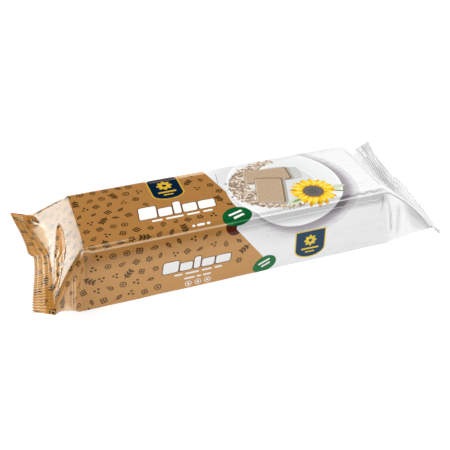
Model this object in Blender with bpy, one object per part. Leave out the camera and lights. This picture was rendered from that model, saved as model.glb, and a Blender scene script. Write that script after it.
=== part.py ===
"""Sealed flow-wrap pack of a halva bar, lying on its base.

A tube of film is drawn round a bar of rectangular section and pressed flat at
both ends into ribbed crimps, cut with a zigzag edge. Each end is folded like a
gable: a sloping panel above and below, and a flat ear on either side that runs
out to the tip of the crimp.

Every point of the film has two film coordinates: run, along the pack from its
middle, and girth, round the tube from the middle of the top. film_points()
says where in space that point lies. +X runs along the pack, -Y is the front,
the base stands on z = 0.
"""

import math

import bmesh
import bpy
import numpy as np

MM = 0.001

# The wrapped bar. Its ends lean out a little towards the base.
WIDTH = 42.0 * MM
HEIGHT = 30.4 * MM
TOP_LENGTH = 132.0 * MM
BASE_LENGTH = 145.0 * MM

# The film tube, and the lines across it measured in the flat film
TUBE = 2 * (WIDTH + HEIGHT)
HALF_CRIMP = TUBE / 4
CRIMP_RUN = 89.0 * MM
CRIMP_DEPTH = 7.6 * MM
CRIMP_THICKNESS = 0.7 * MM

# Ribs pressed into the crimps, and the zigzag of the cut
RIBS = 52
RIB_HEIGHT = 0.32 * MM
RIB_FADE = 0.8 * MM
ZIGZAG = 0.5 * MM

# The edge strips, where tight film slopes down to the long top edges
STRIP = 4.2 * MM
STRIP_DROP = 0.55 * MM
SIDE_STRIP = 5.0 * MM
SIDE_PULL = 0.35 * MM

# Rounding of the folds, where the film leaves the bar and along the ears
FOLD_RADIUS = 1.5 * MM
EAR_RADIUS = 0.5 * MM

# How full the end panels stand: 1 is a straight slope, more is rounder
TOP_BULGE_FRONT = 1.9
TOP_BULGE_BACK = 1.1
BASE_BULGE = {-1: 1.0, 1: 0.85}

# Fin seal of the tube, lying flat on the base, and the recess beside it
FIN_HALF_WIDTH = 5.0 * MM
FIN_STEP = 0.6 * MM
RECESS = 0.35 * MM
RECESS_END = 17.0 * MM

# Where each crimp runs: distance from the middle and height, in mm, at five
# stations from the front tip to the back tip
STATIONS = (-1.0, -0.46, 0.0, 0.46, 1.0)
CRIMPS = {
    -1: {
        "inner": ((82.9, 14.6), (80.0, 19.6), (79.2, 18.2), (81.2, 14.8), (82.7, 14.6)),
        "outer": ((91.3, 18.0), (87.9, 18.8), (86.0, 18.2), (86.9, 17.9), (89.3, 17.6)),
    },
    1: {
        "inner": ((82.9, 16.4), (84.2, 14.2), (84.9, 13.8), (84.2, 15.6), (83.1, 17.4)),
        "outer": ((87.0, 12.0), (86.4, 17.0), (85.6, 20.4), (86.6, 21.4), (91.3, 21.0)),
    },
}

# The cut edge steps sideways where the fin crosses the crimp
JOG = 2.0 * MM
JOG_WIDTH = 2.5 * MM

# A pleat pressed into the left end, from mid panel to the front tip
PLEAT_START = (-77.2 * MM, 4.5 * MM)
PLEAT_END = (-88.4 * MM, -33.5 * MM)
PLEAT_DEPTH = 1.7 * MM
PLEAT_HALF_WIDTH = 2.8 * MM
PLEAT_TAPER = 0.55

# The print's two grounds meet along a slanting line round the middle
GROUND_EDGE = 3.0 * MM
GROUND_SLANT = 0.26
CARAMEL = (0.46, 0.22, 0.065)
WHITE = (0.86, 0.86, 0.87)

# Points round a film point that are averaged to round a fold
AVERAGED = 12

# Rows and columns of the mesh: equal columns across half the top, the shares
# of the edge strip, of a side and of half the base at which further columns
# lie, rows at an end fold and rows from there to the crimp
TOP_COLUMNS = 13
STRIP_SHARES = (0.3, 0.6, 0.8, 0.92)
SIDE_SHARES = (0, 0.012, 0.03, 0.06, 0.11, 0.17, 0.3, 0.5, 0.7, 0.86, 0.94, 0.97, 0.988, 1)
BASE_SHARES = (0.52, 0.92, 0.96, 0.985)
FOLD_ROWS = tuple(offset * MM for offset in (-3.0, -1.5, -0.8, 0.0, 0.8, 1.6))
END_ROWS = 14
BODY_ROWS = (0.3, 0.6, 0.85)
SHARP_ANGLE = math.radians(35)


def smooth(low, high, value):
    """0 below low, 1 above high, and a soft step between."""
    share = np.clip((value - low) / (high - low), 0.0, 1.0)
    return share * share * (3 - 2 * share)


def lerp(start, end, share):
    return start + (end - start) * share


def crimp_line(end, name, y):
    """Distance and height of a crimp's inner or outer line at y."""
    share = np.clip(y / HALF_CRIMP, -1.0, 1.0)
    reach, height = np.array(CRIMPS[end][name]).T * MM
    line = np.polyfit(STATIONS, reach, 4), np.polyfit(STATIONS, height, 4)
    return np.polyval(line[0], share), np.polyval(line[1], share)


def fold_run(girth):
    """Run of the fold where the film leaves the bar's end."""
    down = np.clip((np.abs(girth) - WIDTH / 2) / HEIGHT, 0.0, 1.0)
    return lerp(TOP_LENGTH, BASE_LENGTH, down) / 2


def end_share(run, girth):
    """Share of the way from the end fold to the crimp: 0 on the bar, 1 in the crimp."""
    fold = fold_run(girth)
    return np.clip((np.abs(run) - fold) / (CRIMP_RUN - fold), 0.0, 1.0)


def across_base(y):
    """Height of the base film, with the fin and the recess beside it."""
    away = np.abs(y)
    rise = smooth(FIN_HALF_WIDTH, FIN_HALF_WIDTH + FIN_STEP, away)
    return RECESS * rise * (1 - smooth(FIN_HALF_WIDTH + FIN_STEP, RECESS_END, away))


def edge_drop(inside):
    """How far the top film lies below the bar's top, by distance from its long edge."""
    return STRIP_DROP * smooth(-STRIP, 0.0, -inside)


def side_pull(below):
    """How far the side film is drawn in just below the long top edge."""
    return SIDE_PULL * np.sin(np.pi * np.clip(below / SIDE_STRIP, 0.0, 1.0)) ** 2


def round_bar(girth):
    """y and z of the tube round the bar, before its edges are rounded."""
    way = np.abs(girth)
    side = np.where(girth < 0, -1.0, 1.0)
    below = way - WIDTH / 2
    from_base = TUBE / 2 - way
    on_top = below <= 0
    on_side = ~on_top & (below < HEIGHT)
    side_z = (HEIGHT - STRIP_DROP) * (1 - below / HEIGHT)
    y = np.where(on_top, way, np.where(on_side, WIDTH / 2 - side_pull(below), from_base))
    z = np.where(on_top, HEIGHT - edge_drop(-below), np.where(on_side, side_z, across_base(from_base)))
    return side * y, z


def in_crimp(end, y, depth, layer):
    """A point of the crimp: depth from its inner line, layer +1 above to -1 below."""
    x_in, z_in = crimp_line(end, "inner", y)
    x_out, z_out = crimp_line(end, "outer", y)
    x_out = x_out + end * JOG * (0.5 - smooth(-JOG_WIDTH, JOG_WIDTH, y))
    width = np.hypot(x_out - x_in, z_out - z_in)
    share = np.clip(depth / CRIMP_DEPTH, 0.0, 1.0)
    pitch = 2 * HALF_CRIMP / RIBS
    phase = np.abs(y / pitch) % 1.0
    rib = 4 * np.abs(phase - 0.5) - 1
    lift = layer * CRIMP_THICKNESS / 2 + RIB_HEIGHT * rib * smooth(0.0, RIB_FADE, depth)
    x = lerp(x_in, x_out, share) - lift * (z_out - z_in) / width
    z = lerp(z_in, z_out, share) + lift * (x_out - x_in) / width
    return x + ZIGZAG * rib * smooth(0.9, 1.0, share), z


def end_panel(end, y, share, above):
    """Reach and height on the sloping panel above or below, share of the way out."""
    x_in, z_in = in_crimp(end, y, np.zeros_like(y), above * share)
    if above > 0:
        bulge = lerp(TOP_BULGE_FRONT, TOP_BULGE_BACK, smooth(-HALF_CRIMP, HALF_CRIMP, y))
        return lerp(TOP_LENGTH / 2, x_in, share), lerp(HEIGHT, z_in, share**bulge)
    return lerp(BASE_LENGTH / 2, x_in, share), lerp(0.0, z_in, share ** BASE_BULGE[end])


def end_points(end, hand, way, share, depth):
    """Film points past the end fold: the two panels, the ear between them, the crimp."""
    spread = HEIGHT / 2 * share
    below = way - WIDTH / 2
    on_bar = (1 - share) ** 2
    # The ear, between the folds of the panel above and the panel below
    height = np.maximum(HEIGHT - 2 * spread, 1e-3 * MM)
    down = np.clip((below - spread) / height, 0.0, 1.0)
    fold_y = hand * (WIDTH / 2 + spread)
    high_x, high_z = end_panel(end, fold_y, share, 1)
    low_x, low_z = end_panel(end, fold_y, share, -1)
    x = lerp(high_x, low_x, down)
    y = fold_y - hand * on_bar * side_pull(below - spread)
    z = lerp(high_z - on_bar * STRIP_DROP, low_z, down)
    # The two panels, which keep the film's own y
    upper, lower = below <= spread, below >= HEIGHT - spread
    high_y, low_y = hand * way, hand * (TUBE / 2 - way)
    high_x, high_z = end_panel(end, high_y, share, 1)
    low_x, low_z = end_panel(end, low_y, share, -1)
    high_z = high_z - on_bar * edge_drop(spread - below)
    low_z = low_z + on_bar * across_base(low_y)
    x = np.where(upper, high_x, np.where(lower, low_x, x))
    y = np.where(upper, high_y, np.where(lower, low_y, y))
    z = np.where(upper, high_z, np.where(lower, low_z, z))
    # The crimp
    layer = np.where(way <= HALF_CRIMP, 1.0, -1.0)
    flat_y = np.where(layer > 0, high_y, low_y)
    flat_x, flat_z = in_crimp(end, flat_y, depth, layer)
    pressed = depth > 0
    x = np.where(pressed, flat_x, x)
    y = np.where(pressed, flat_y, y)
    z = np.where(pressed, flat_z, z)
    return end * x, y, z


def sharp_points(run, girth):
    """Where film points lie, with sharp folds: an array of x, y, z."""
    x, (y, z) = run.copy(), round_bar(girth)
    way, hand = np.abs(girth), np.where(girth < 0, -1.0, 1.0)
    share = end_share(run, girth)
    depth = np.clip(np.abs(run) - CRIMP_RUN, 0.0, None)
    for end in (-1, 1):
        past = (end * run > 0) & (share > 0)
        found = end_points(end, hand[past], way[past], share[past], depth[past])
        x[past], y[past], z[past] = found
    return np.stack((x, y, z), axis=-1)


def pleat(run, girth):
    """How far the film is pushed in at the pleat of the left end."""
    start, end = np.array(PLEAT_START), np.array(PLEAT_END)
    along = end - start
    offset = np.stack((run, girth), axis=-1) - start
    share = offset @ along / (along @ along)
    away = np.abs(offset[..., 0] * along[1] - offset[..., 1] * along[0]) / np.hypot(*along)
    half_width = PLEAT_HALF_WIDTH * (1 - PLEAT_TAPER * np.clip(share, 0.0, 1.0))
    fade = smooth(0.0, 0.3, share) * (1 - smooth(0.92, 1.05, share))
    return PLEAT_DEPTH * fade * (1 - smooth(0.0, 1.0, away / half_width))


def fold_radius(run, girth):
    """Radius of the folds: full on the bar, small along the ears, none in the crimp."""
    share = end_share(run, girth)
    radius = lerp(FOLD_RADIUS, EAR_RADIUS, smooth(0.0, 0.35, share))
    return radius * (1 - smooth(0.8, 1.0, share))


def film_points(run, girth):
    """Where film points lie, with the folds rounded and the pleat pressed in."""
    radius = fold_radius(run, girth)
    total = sharp_points(run, girth)
    for k in range(AVERAGED):
        turn = 2 * np.pi * k / AVERAGED
        ring = radius * (0.55 if k % 2 else 1.0)
        wrapped = (girth + ring * np.sin(turn) + TUBE / 2) % TUBE - TUBE / 2
        total = total + sharp_points(run + ring * np.cos(turn), wrapped)
    points = total / (AVERAGED + 1)
    inward = np.array((math.sqrt(0.5), 0.0, -math.sqrt(0.5)))
    return points + pleat(run, girth)[..., None] * inward


def columns(share):
    """Girths of the columns of a row, share of the way from the end fold to the crimp."""
    reach = WIDTH / 2 + HEIGHT / 2 * share
    flat = 1 - STRIP / (WIDTH / 2)
    half = [flat * k / TOP_COLUMNS for k in range(TOP_COLUMNS + 1)]
    half += [lerp(flat, 1.0, part) for part in STRIP_SHARES]
    flat_fin = FIN_HALF_WIDTH - FOLD_RADIUS
    fin = (flat_fin, FIN_HALF_WIDTH, FIN_HALF_WIDTH + FIN_STEP, RECESS_END)
    base = sorted([way / (WIDTH / 2) for way in fin] + list(BASE_SHARES))
    way = [reach * part for part in half]
    way += [reach + HEIGHT * (1 - share) * part for part in SIDE_SHARES]
    way += [TUBE / 2 - reach * part for part in reversed(base)]
    return np.array([-TUBE / 2] + [-w for w in reversed(way)] + way[1:])


def body_row(place):
    """A row round the bar, at a share of the way from its middle to an end fold."""
    girth = columns(0.0)
    return fold_run(girth) * place, girth


def ground_row():
    """The row along which the print's two grounds meet, straight again at the fin seal."""
    girth = columns(0.0)
    slant = 1 - smooth(0.7, 1.0, np.abs(girth) / (TUBE / 2))
    return GROUND_EDGE - GROUND_SLANT * girth * slant, girth


def fold_row(end, offset):
    """A row beside an end fold, offset outwards from it."""
    girth = columns(0.0)
    return end * (fold_run(girth) + offset), girth


def end_row(end, share):
    """A row over an end's panels and ears."""
    girth = columns(share)
    return end * lerp(fold_run(girth), CRIMP_RUN, share), girth


def crimp_row(end, depth):
    """A row across a crimp: below and above at the front, then above and below behind."""
    tip = HALF_CRIMP - 1e-6 * MM
    half = np.append(np.linspace(0.0, HALF_CRIMP, RIBS + 1)[:-1], tip)
    inward = half[:0:-1]
    girth = np.concatenate((half - TUBE / 2, -inward, half, TUBE / 2 - inward))
    return np.full(len(girth), end * (CRIMP_RUN + depth)), girth


def half_rows(end):
    """Rows from near the middle to the cut edge of one end."""
    found = [body_row(end * place) for place in BODY_ROWS]
    found += [fold_row(end, offset) for offset in FOLD_ROWS]
    found += [end_row(end, k / END_ROWS) for k in range(2, END_ROWS)]
    return found + [crimp_row(end, depth) for depth in (0.0, RIB_FADE, CRIMP_DEPTH)]


def zip_rings(bm, first, second):
    """Joins two closed rows with different columns, each a list of (girth, vertex)."""
    i = j = 0
    faces = []
    while i < len(first) or j < len(second):
        next_first = first[i + 1][0] if i + 1 < len(first) else TUBE / 2
        next_second = second[j + 1][0] if j + 1 < len(second) else TUBE / 2
        a, b = first[i % len(first)][1], second[j % len(second)][1]
        if i < len(first) and (next_first < next_second or j >= len(second)):
            i += 1
            faces.append(bm.faces.new((a, first[i % len(first)][1], b)))
        else:
            j += 1
            faces.append(bm.faces.new((a, second[j % len(second)][1], b)))
    return faces


def join_rings(bm, first, second):
    """Joins two closed rows that have the same columns, with two triangles each."""
    faces = []
    for k in range(len(first)):
        n = (k + 1) % len(first)
        a, b, c, d = first[k][1], first[n][1], second[n][1], second[k][1]
        faces += [bm.faces.new((a, b, c)), bm.faces.new((a, c, d))]
    return faces


def close_crimp(bm, ring):
    """Closes the cut edge between the crimp's two layers."""
    vertices = [vertex for girth, vertex in ring]
    front, above = RIBS + 1, 2 * RIBS + 1
    layer = vertices[front : front + above]
    under = vertices[front - 1 :: -1] + vertices[: front + above - 1 : -1]
    faces = []
    for k in range(above - 1):
        faces.append(bm.faces.new((layer[k], layer[k + 1], under[k + 1])))
        faces.append(bm.faces.new((layer[k], under[k + 1], under[k])))
    return faces


def film_material(name, colour):
    """Glossy printed film in one ground colour."""
    material = bpy.data.materials.new(name)
    material.use_nodes = True
    shader = material.node_tree.nodes["Principled BSDF"]
    shader.inputs["Base Color"].default_value = (*colour, 1.0)
    shader.inputs["Roughness"].default_value = 0.3
    shader.inputs["Metallic"].default_value = 0.0
    return material


def build_pack():
    """The whole pack as one closed mesh, caramel on the left and white on the right."""
    rows = half_rows(-1)[::-1] + [ground_row()] + half_rows(1)
    ground = len(half_rows(-1))
    bm = bmesh.new()
    rings = []
    for run, girth in rows:
        points = film_points(run, girth)
        rings.append([(g, bm.verts.new(p)) for g, p in zip(girth, points)])
    faces = {0: close_crimp(bm, rings[0]), 1: close_crimp(bm, rings[-1])}
    for k, (first, second) in enumerate(zip(rings, rings[1:])):
        join = join_rings if len(first) == len(second) else zip_rings
        faces[int(k >= ground)] += join(bm, first, second)
    for material, found in faces.items():
        for face in found:
            face.material_index = material
    bmesh.ops.recalc_face_normals(bm, faces=bm.faces)
    mesh = bpy.data.meshes.new("halva_pack")
    bm.to_mesh(mesh)
    bm.free()
    mesh.materials.append(film_material("caramel_film", CARAMEL))
    mesh.materials.append(film_material("white_film", WHITE))
    mesh.shade_smooth()
    mesh.set_sharp_from_angle(angle=SHARP_ANGLE)
    pack = bpy.data.objects.new("halva_pack", mesh)
    bpy.context.scene.collection.objects.link(pack)


def main():
    for thing in list(bpy.data.objects):
        bpy.data.objects.remove(thing, do_unlink=True)
    build_pack()


main()
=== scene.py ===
"""Printed film of a flow-wrapped halva bar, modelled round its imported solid, and the studio.

The film is one tube, drawn round the bar, folded like a gable at both ends and pressed
into two ribbed crimps. Its print is drawn on the flat film, where a point has two
coordinates in millimetres: run, along the pack from its middle, and girth, round the
tube from the middle of the top (negative on the front side). The flat film is cut into
triangles along the outlines of the print, and each point is then folded into place.
"""

import math

import bpy
import numpy as np
from mathutils import Euler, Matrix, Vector, kdtree
from mathutils.geometry import delaunay_2d_cdt


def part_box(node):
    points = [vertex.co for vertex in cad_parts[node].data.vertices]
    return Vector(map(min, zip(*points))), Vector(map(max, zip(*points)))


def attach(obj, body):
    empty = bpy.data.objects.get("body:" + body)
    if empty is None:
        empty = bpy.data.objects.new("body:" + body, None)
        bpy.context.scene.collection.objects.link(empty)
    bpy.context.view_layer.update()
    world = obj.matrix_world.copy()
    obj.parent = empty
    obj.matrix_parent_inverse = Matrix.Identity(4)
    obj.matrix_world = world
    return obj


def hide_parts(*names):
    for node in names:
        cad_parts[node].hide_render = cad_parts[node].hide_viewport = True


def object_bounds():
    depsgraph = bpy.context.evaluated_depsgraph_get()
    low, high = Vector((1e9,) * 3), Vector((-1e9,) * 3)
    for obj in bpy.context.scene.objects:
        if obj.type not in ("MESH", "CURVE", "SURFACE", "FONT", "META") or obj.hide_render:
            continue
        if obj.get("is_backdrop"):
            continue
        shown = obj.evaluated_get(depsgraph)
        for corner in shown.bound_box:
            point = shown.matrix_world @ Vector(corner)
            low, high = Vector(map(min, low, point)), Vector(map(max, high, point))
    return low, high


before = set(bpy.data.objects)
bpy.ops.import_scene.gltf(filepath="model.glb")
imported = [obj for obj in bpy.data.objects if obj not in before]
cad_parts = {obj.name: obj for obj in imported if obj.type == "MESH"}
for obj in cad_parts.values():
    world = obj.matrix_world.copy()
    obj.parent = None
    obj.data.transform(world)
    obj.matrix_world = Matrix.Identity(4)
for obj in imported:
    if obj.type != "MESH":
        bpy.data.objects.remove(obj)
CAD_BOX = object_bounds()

bl_info = {
    "name": "Flow-wrapped halva bar",
    "version": (1, 0, 0),
    "blender": (4, 5, 0),
    "location": "View3D > Sidebar > Halva",
    "description": "Makes the printed film of a sealed halva pack, and a studio round it",
    "category": "Add Mesh",
}

MM = 0.001
LOW, HIGH = (np.array(corner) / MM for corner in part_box("halva_pack"))

# The tube of film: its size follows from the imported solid
HEIGHT = HIGH[2] - LOW[2]
HALF_CRIMP = (HIGH[1] - LOW[1]) / 2
TUBE = 4 * HALF_CRIMP
WIDTH = TUBE / 2 - HEIGHT

# Lines across the tube, in mm from the middle
TOP_END = 66.0
BASE_END = 72.5
CRIMP_RUN = 89.0
CRIMP_DEPTH = 7.6
CUT_RUN = CRIMP_RUN + CRIMP_DEPTH

# The long edges, front (-1) and back (1). The top film bends down just before the front
# edge, and the side film slopes out below it. The back edge is almost square.
STRIP = 2.2
EDGE_DROP = {-1: 1.9, 1: 0.1}
EDGE_INSET = {-1: 1.45, 1: 0.0}
SIDE_DROP = {-1: 0.95, 1: 0.1}
SIDE_STRIP = 5.2
SIDE_SWELL = 0.3
SIDE_SWELL_WAY = 12.0
CORNER = 3.0
EDGE_WAY = 0.12

# Rounding of the folds, and how full the end panels stand
FOLD_RADIUS = 0.85
EAR_RADIUS = 0.5
RING = 12
INNER_RING = 0.55
TOP_BULGE_FRONT = 1.9
TOP_BULGE_BACK = 1.1
BASE_BULGE = {-1: 1.0, 1: 0.85}
EAR_SWELL = {-1: 1.0, 1: 0.6}

# How far, and over which width, the film bends down beside the ear folds: (end, side)
EAR_BEND = {(-1, -1): (1.5, 3.8), (-1, 1): (0.0, 1.0), (1, -1): (0.25, 1.0), (1, 1): (0.25, 1.0)}

# Soft bands: where each starts, is full, fades and ends, as shares of the way to the crimp
EAR_SWOLLEN = (0.05, 0.3, 0.6, 1.0)
EAR_BENT = (0.06, 0.3, 0.75, 1.0)
EAR_LINE = (0.0, 0.06, 0.95, 1.0)
EAR_CREST = (0.1, 0.3, 0.97, 1.0)
PANEL = (0.0, 0.05, 0.95, 1.0)
GATHERED = (0.55, 0.9, 0.97, 1.0)
# And in mm below a long edge or the fold of an ear
OVER_EDGE = (-2.1, -1.6, -0.6, -0.3)
UNDER_EDGE = (0.4, 0.8, 3.3, 7.5)
UNDER_EAR = (0.3, 0.7, 3.0, 6.0)

# Fin seal on the base
FIN_HALF_WIDTH = 5.0
FIN_STEP = 0.6
RECESS = 0.35
RECESS_END = 17.0

# Where each crimp runs: distance from the middle and height at five stations
STATIONS = (-1.0, -0.46, 0.0, 0.46, 1.0)
CRIMPS = {
    -1: {
        "inner": ((82.9, 14.6), (80, 19.6), (79.2, 18.2), (81.2, 14.8), (82.7, 14.6)),
        "outer": ((91.3, 18), (87.9, 18.8), (86, 18.2), (86.9, 17.9), (89.3, 17.6)),
    },
    1: {
        "inner": ((82.9, 16.4), (84.2, 14.2), (84.9, 13.8), (84.2, 15.6), (83.1, 17.4)),
        "outer": ((87, 12), (86.4, 17), (85.6, 20.4), (86.6, 21.4), (91.3, 21)),
    },
}
RIBS = 52
RIB_FADE = 0.8
JOG = 2.0
JOG_WIDTH = 2.5
CRIMP_TIP = 0.35

# V-shaped darts pressed into the left end panel: (run, girth) of both ends, half width
DARTS = (
    ((-76.3, 10.8), (-89.2, -35.0), 4.2),
    ((-90.0, 36.5), (-84.9, 23.5), 1.9),
)
DART_SLOPE = 0.42

# Creases: (run, girth) of both ends, sideways bow, scallop, height outwards, half width,
# and tone from -1, painted highlight, to 1, painted shade
CREASES = (
    # The tight long edges
    ((-68, -19.3), (-46, -19.2), 0, 0, 0.16, 0.6, -0.45),
    ((-68, -26.8), (-42, -25.6), 0, 0, 0, 2.6, 0.4),
    ((-70, -21.4), (-2, -21.4), 0, 0, 0.22, 0.75, -0.62),
    ((-9, -21.2), (67.5, -21.1), 0, 0.08, 0.28, 0.45, -0.9),
    ((-2, -24.5), (67, -24.4), 0, 0.35, 0.14, 0.45, -0.45),
    ((44, -19.9), (67, -19.8), 0, 0.55, -0.22, 0.5, 0.8),
    ((52, -25.4), (67, -25.2), 0, 0.4, -0.12, 0.4, 0.35),
    ((-32, 19.2), (60, 19.2), 0, 0, 0.08, 0.7, -0.2),
    ((-70, 20.9), (66, 20.9), 0, 0, 0.42, 0.8, -0.3),
    ((-19.5, 19.9), (1, 19.9), 0, 0, 0, 1.7, -0.72),
    ((8, 19.8), (66, 19.8), 0, 0, 0, 2.4, 0.22),
    ((-60, 25), (66, 25), 0, 0, 0.12, 0.9, 0),
    # Upright creases on the left ear
    ((-77.6, -29.5), (-76.9, -49.5), 0, 0, 0.24, 0.6, -0.45),
    ((-75.8, -28), (-75, -50), 0.2, 0, 0.24, 0.55, -0.55),
    ((-76.6, -27.5), (-76.1, -49), 0, 0, -0.2, 0.45, 0.4),
    ((-78.8, -28), (-78.1, -47.5), 0, 0, -0.22, 0.7, 0.55),
    ((-83.5, -38), (-77, -46.5), 0, 0, 0.3, 2, -0.55),
    ((-67.4, -22.5), (-67.9, -40), 0, 0, -0.18, 1.2, 0.3),
    # Along the back ear of the left end
    ((-67.2, 20.3), (-88, 33.6), 0, 0, -0.35, 0.75, 0.9),
    # Upright creases on the right ear
    ((66.4, -21.2), (66, -33), 0, 0, -0.3, 0.75, 0.65),
    ((68.2, -25.5), (72.4, -46), 0.5, 0, -0.3, 0.75, 0.6),
    ((70.6, -30.5), (72.5, -46), -0.4, 0, -0.25, 0.5, 0.6),
    ((70.3, -29), (71.9, -43), 0, 0, 0.22, 0.6, -0.3),
    ((73.2, -27.5), (74.7, -48), 0, 0, -0.45, 1.2, 0.55),
    ((76.2, -30), (76.6, -46), 0, 0, 0.28, 1.3, -0.3),
    # Beside the fold of the right end
    ((66.9, 21), (66.9, -18.5), 0, 0, -0.26, 0.5, 1.7),
    ((66.9, 10), (66.9, -19), 0, 0, 0, 0.42, 1),
    ((68.4, 20), (68.8, -20.5), 0, 0, 0.34, 0.8, -0.4),
)
CREASE_FADE = 5.0
SCALLOP_START = 38.0
SCALLOP_RISE = 14.0
SCALLOP_PITCH = 5.3

# Heights of the finer waves: gathers beside the crimps, small folds down the long dart,
# slack of the long sides, and the steps and waves that the crimping jaws leave. Of the
# random ones also their size, their stretch along run and girth, and their draw. The slack
# starts and is full at two distances from the top's middle.
GATHER_HEIGHT = 0.3
GATHERS = (7.0, (0.25, 1.0), 5)
LEFT_GATHERS = 0.12
CRUMPLE_HEIGHT = 0.45
CRUMPLE_PITCH = 2.3
SLACK_HEIGHT = 0.035
SLACK_WAYS = (25.0, 30.0)
JAW_STEP = 0.14
JAW_PITCH = 2.5
JAW_WAVE_HEIGHT = 0.25
JAW_WAVES = (9.0, (1.0, 1.0), 2)

# Blocks of painted shade and painted highlight on the crimps: end, girths, depths, painted shade, painted
# highlight
CRIMP_PAINTED_LIGHT = (
    (-1, (-37, -1), (3.4, 7.6), 0, 0.8),
    (-1, (-24, -2), (0.3, 3.4), 0.1, 0.45),
    (-1, (-37, -24), (0.3, 3.2), 0.35, 0.05),
    (-1, (-37, -29), (3.6, 7.2), 0, 0.35),
    (-1, (0, 24), (1, 7.6), 0.05, 0.35),
    (-1, (24, 37), (2, 6.6), 0.05, 0.3),
    (-1, (29.5, 31), (1.2, 5.6), 0, 0.6),
    (-1, (32, 33.8), (2.6, 6.6), 0, 0.55),
    (1, (10, 36.5), (0, 4.6), 0.12, 0),
    (1, (30, 37), (3.4, 6.6), 0.2, 0),
    (1, (-37, 6), (0, 7.6), 0, 0.4),
    (1, (-37, -34.2), (2, 7.6), 1, 0),
    (1, (-37, -34.6), (4.5, 7.6), 1, 0),
)

# Painted shade where the film turns away from the light, and painted highlight where it
# shines: outline, softness of its rim, and tone from -1, painted highlight, to 1, painted shade
PAINTED_LIGHT_PATCHES = (
    (((75.1, -28.2), (76.8, -34.2), (80.4, -40.1), (88.9, -37.6), (83.5, -32.6)), 2, 0.6),
    (((75.6, -28.4), (79.6, -34.4), (88.9, -38.8), (83.5, -32.6)), 1, 0.55),
    (((-83.4, 22), (-89.2, 25.5), (-89.2, 3), (-85.6, 3)), 1.6, -0.82),
    (((-81.9, 3.2), (-80.8, -3.4), (-77.8, -2.4), (-78.6, 2.6)), 0.9, -0.15),
    (((-85.2, -4.4), (-81.6, -10), (-81, -8.6), (-84.4, -3.4)), 0.5, 0.8),
    (((42.5, -24.6), (46.6, -24.6), (50.5, -19), (46, -18.8)), 0.7, 0.9),
    (((66.2, 21.4), (73, 25), (73.5, 26.6), (66.4, 24)), 0.5, 0.6),
)

# Painted shade and highlight, where 1 is full. White film takes only a share of the painted shade.
WHITE_SHARE = 0.58
# Painted shade over the front edge on white film, and under it on caramel and on white
OVER_EDGE_TONE = 0.55
UNDER_EDGE_TONES = (0.15, 1.0)
# On the left and the right end: painted shade under the ears' folds and in the line beside them, painted
# highlight on the ribs' crests
UNDER_EAR_TONES = (0.4, 0.0)
EAR_LINE_TONES = (0.3, 1.8)
RIB_CREST_TONES = (0.12, 0.0)
# Painted shade between ribs: on the left crimp, and in the middle and at the back of the right one
BETWEEN_RIBS_TONES = (0.3, 0.65, 1.95)
# Painted shade in the hollows of the small folds down the long dart, and painted highlight on their crests
CRUMPLE_TONES = (0.7, 0.8)
# Painted highlight on the crests beside the right ears' folds, and a line of painted shade along the left
# crimp
EAR_CREST_TONE = 0.7
CRIMP_LINE_TONE = 0.5

# Mesh of the flat film
BODY_STEP = 1.15
BASE_STEP = 2.4
EDGE_STEP = 0.5
EDGE_REACH = (17.5, 26.0)
END_STEP = 0.6
FLAT_RUN = 63.0
FLAT_WAYS = ((-1.0, 16.0), (28.0, 49.0), (54.0, TUBE))
FLAT_PRINT_STEP = 1.6
PRINT_STEP = 0.55
CRIMP_PRINT_STEP = 0.25
CLEARANCE = 0.26
CRIMP_CLEARANCE = 0.1
COLUMNS_A_RIB = 6
CREASE_STEP = 0.6
BESIDE_FOLD = (0.22, 0.55, 1.0)
END_LENGTH = 23.0
CRIMP_ROWS = (0.0, 0.3, 0.8, 1.6, 2.6, 3.6, 4.6, 5.6, 6.5, 7.0, 7.3, CRIMP_DEPTH)
PROBE = 0.02
ON_LINE = 1e-4


def smooth(low, high, value):
    """0 below low, 1 above high, and a soft step between."""
    share = np.clip((value - low) / (high - low), 0.0, 1.0)
    return share * share * (3 - 2 * share)


def band(value, low, full, fading, high):
    """0 below low, 1 from full to fading and 0 above high, with soft steps between."""
    return smooth(low, full, value) * (1 - smooth(fading, high, value))


def lerp(start, end, share):
    return start + (end - start) * share


def wrapped(girth):
    """The girth, brought back onto the flat film from beyond the fin seam."""
    return (girth + TUBE / 2) % TUBE - TUBE / 2


def linear(code):
    """Linear colour of an sRGB hex code."""
    values = [int(code[k : k + 2], 16) / 255 for k in (0, 2, 4)]
    return tuple(v / 12.92 if v <= 0.04045 else ((v + 0.055) / 1.055) ** 2.4 for v in values)


# The form of the film


def crimp_line(end, name, y):
    """Distance and height of a crimp's inner or outer line at y."""
    share = np.clip(y / HALF_CRIMP, -1.0, 1.0)
    reach, height = np.array(CRIMPS[end][name]).T
    line = np.polyfit(STATIONS, reach, 4), np.polyfit(STATIONS, height, 4)
    return np.polyval(line[0], share), np.polyval(line[1], share)


def fold_run(girth):
    """Run of the fold where the film leaves the bar's end."""
    down = np.clip((np.abs(girth) - WIDTH / 2) / HEIGHT, 0.0, 1.0)
    return lerp(TOP_END, BASE_END, down)


def end_share(run, girth):
    """Share of the way from the end fold to the crimp: 0 on the bar, 1 in the crimp."""
    fold = fold_run(girth)
    return np.clip((np.abs(run) - fold) / (CRIMP_RUN - fold), 0.0, 1.0)


def base_height(y):
    """Height of the base film, with the fin and the recess beside it."""
    fin_edge = FIN_HALF_WIDTH + FIN_STEP
    return RECESS * band(np.abs(y), FIN_HALF_WIDTH, fin_edge, fin_edge, RECESS_END)


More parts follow.
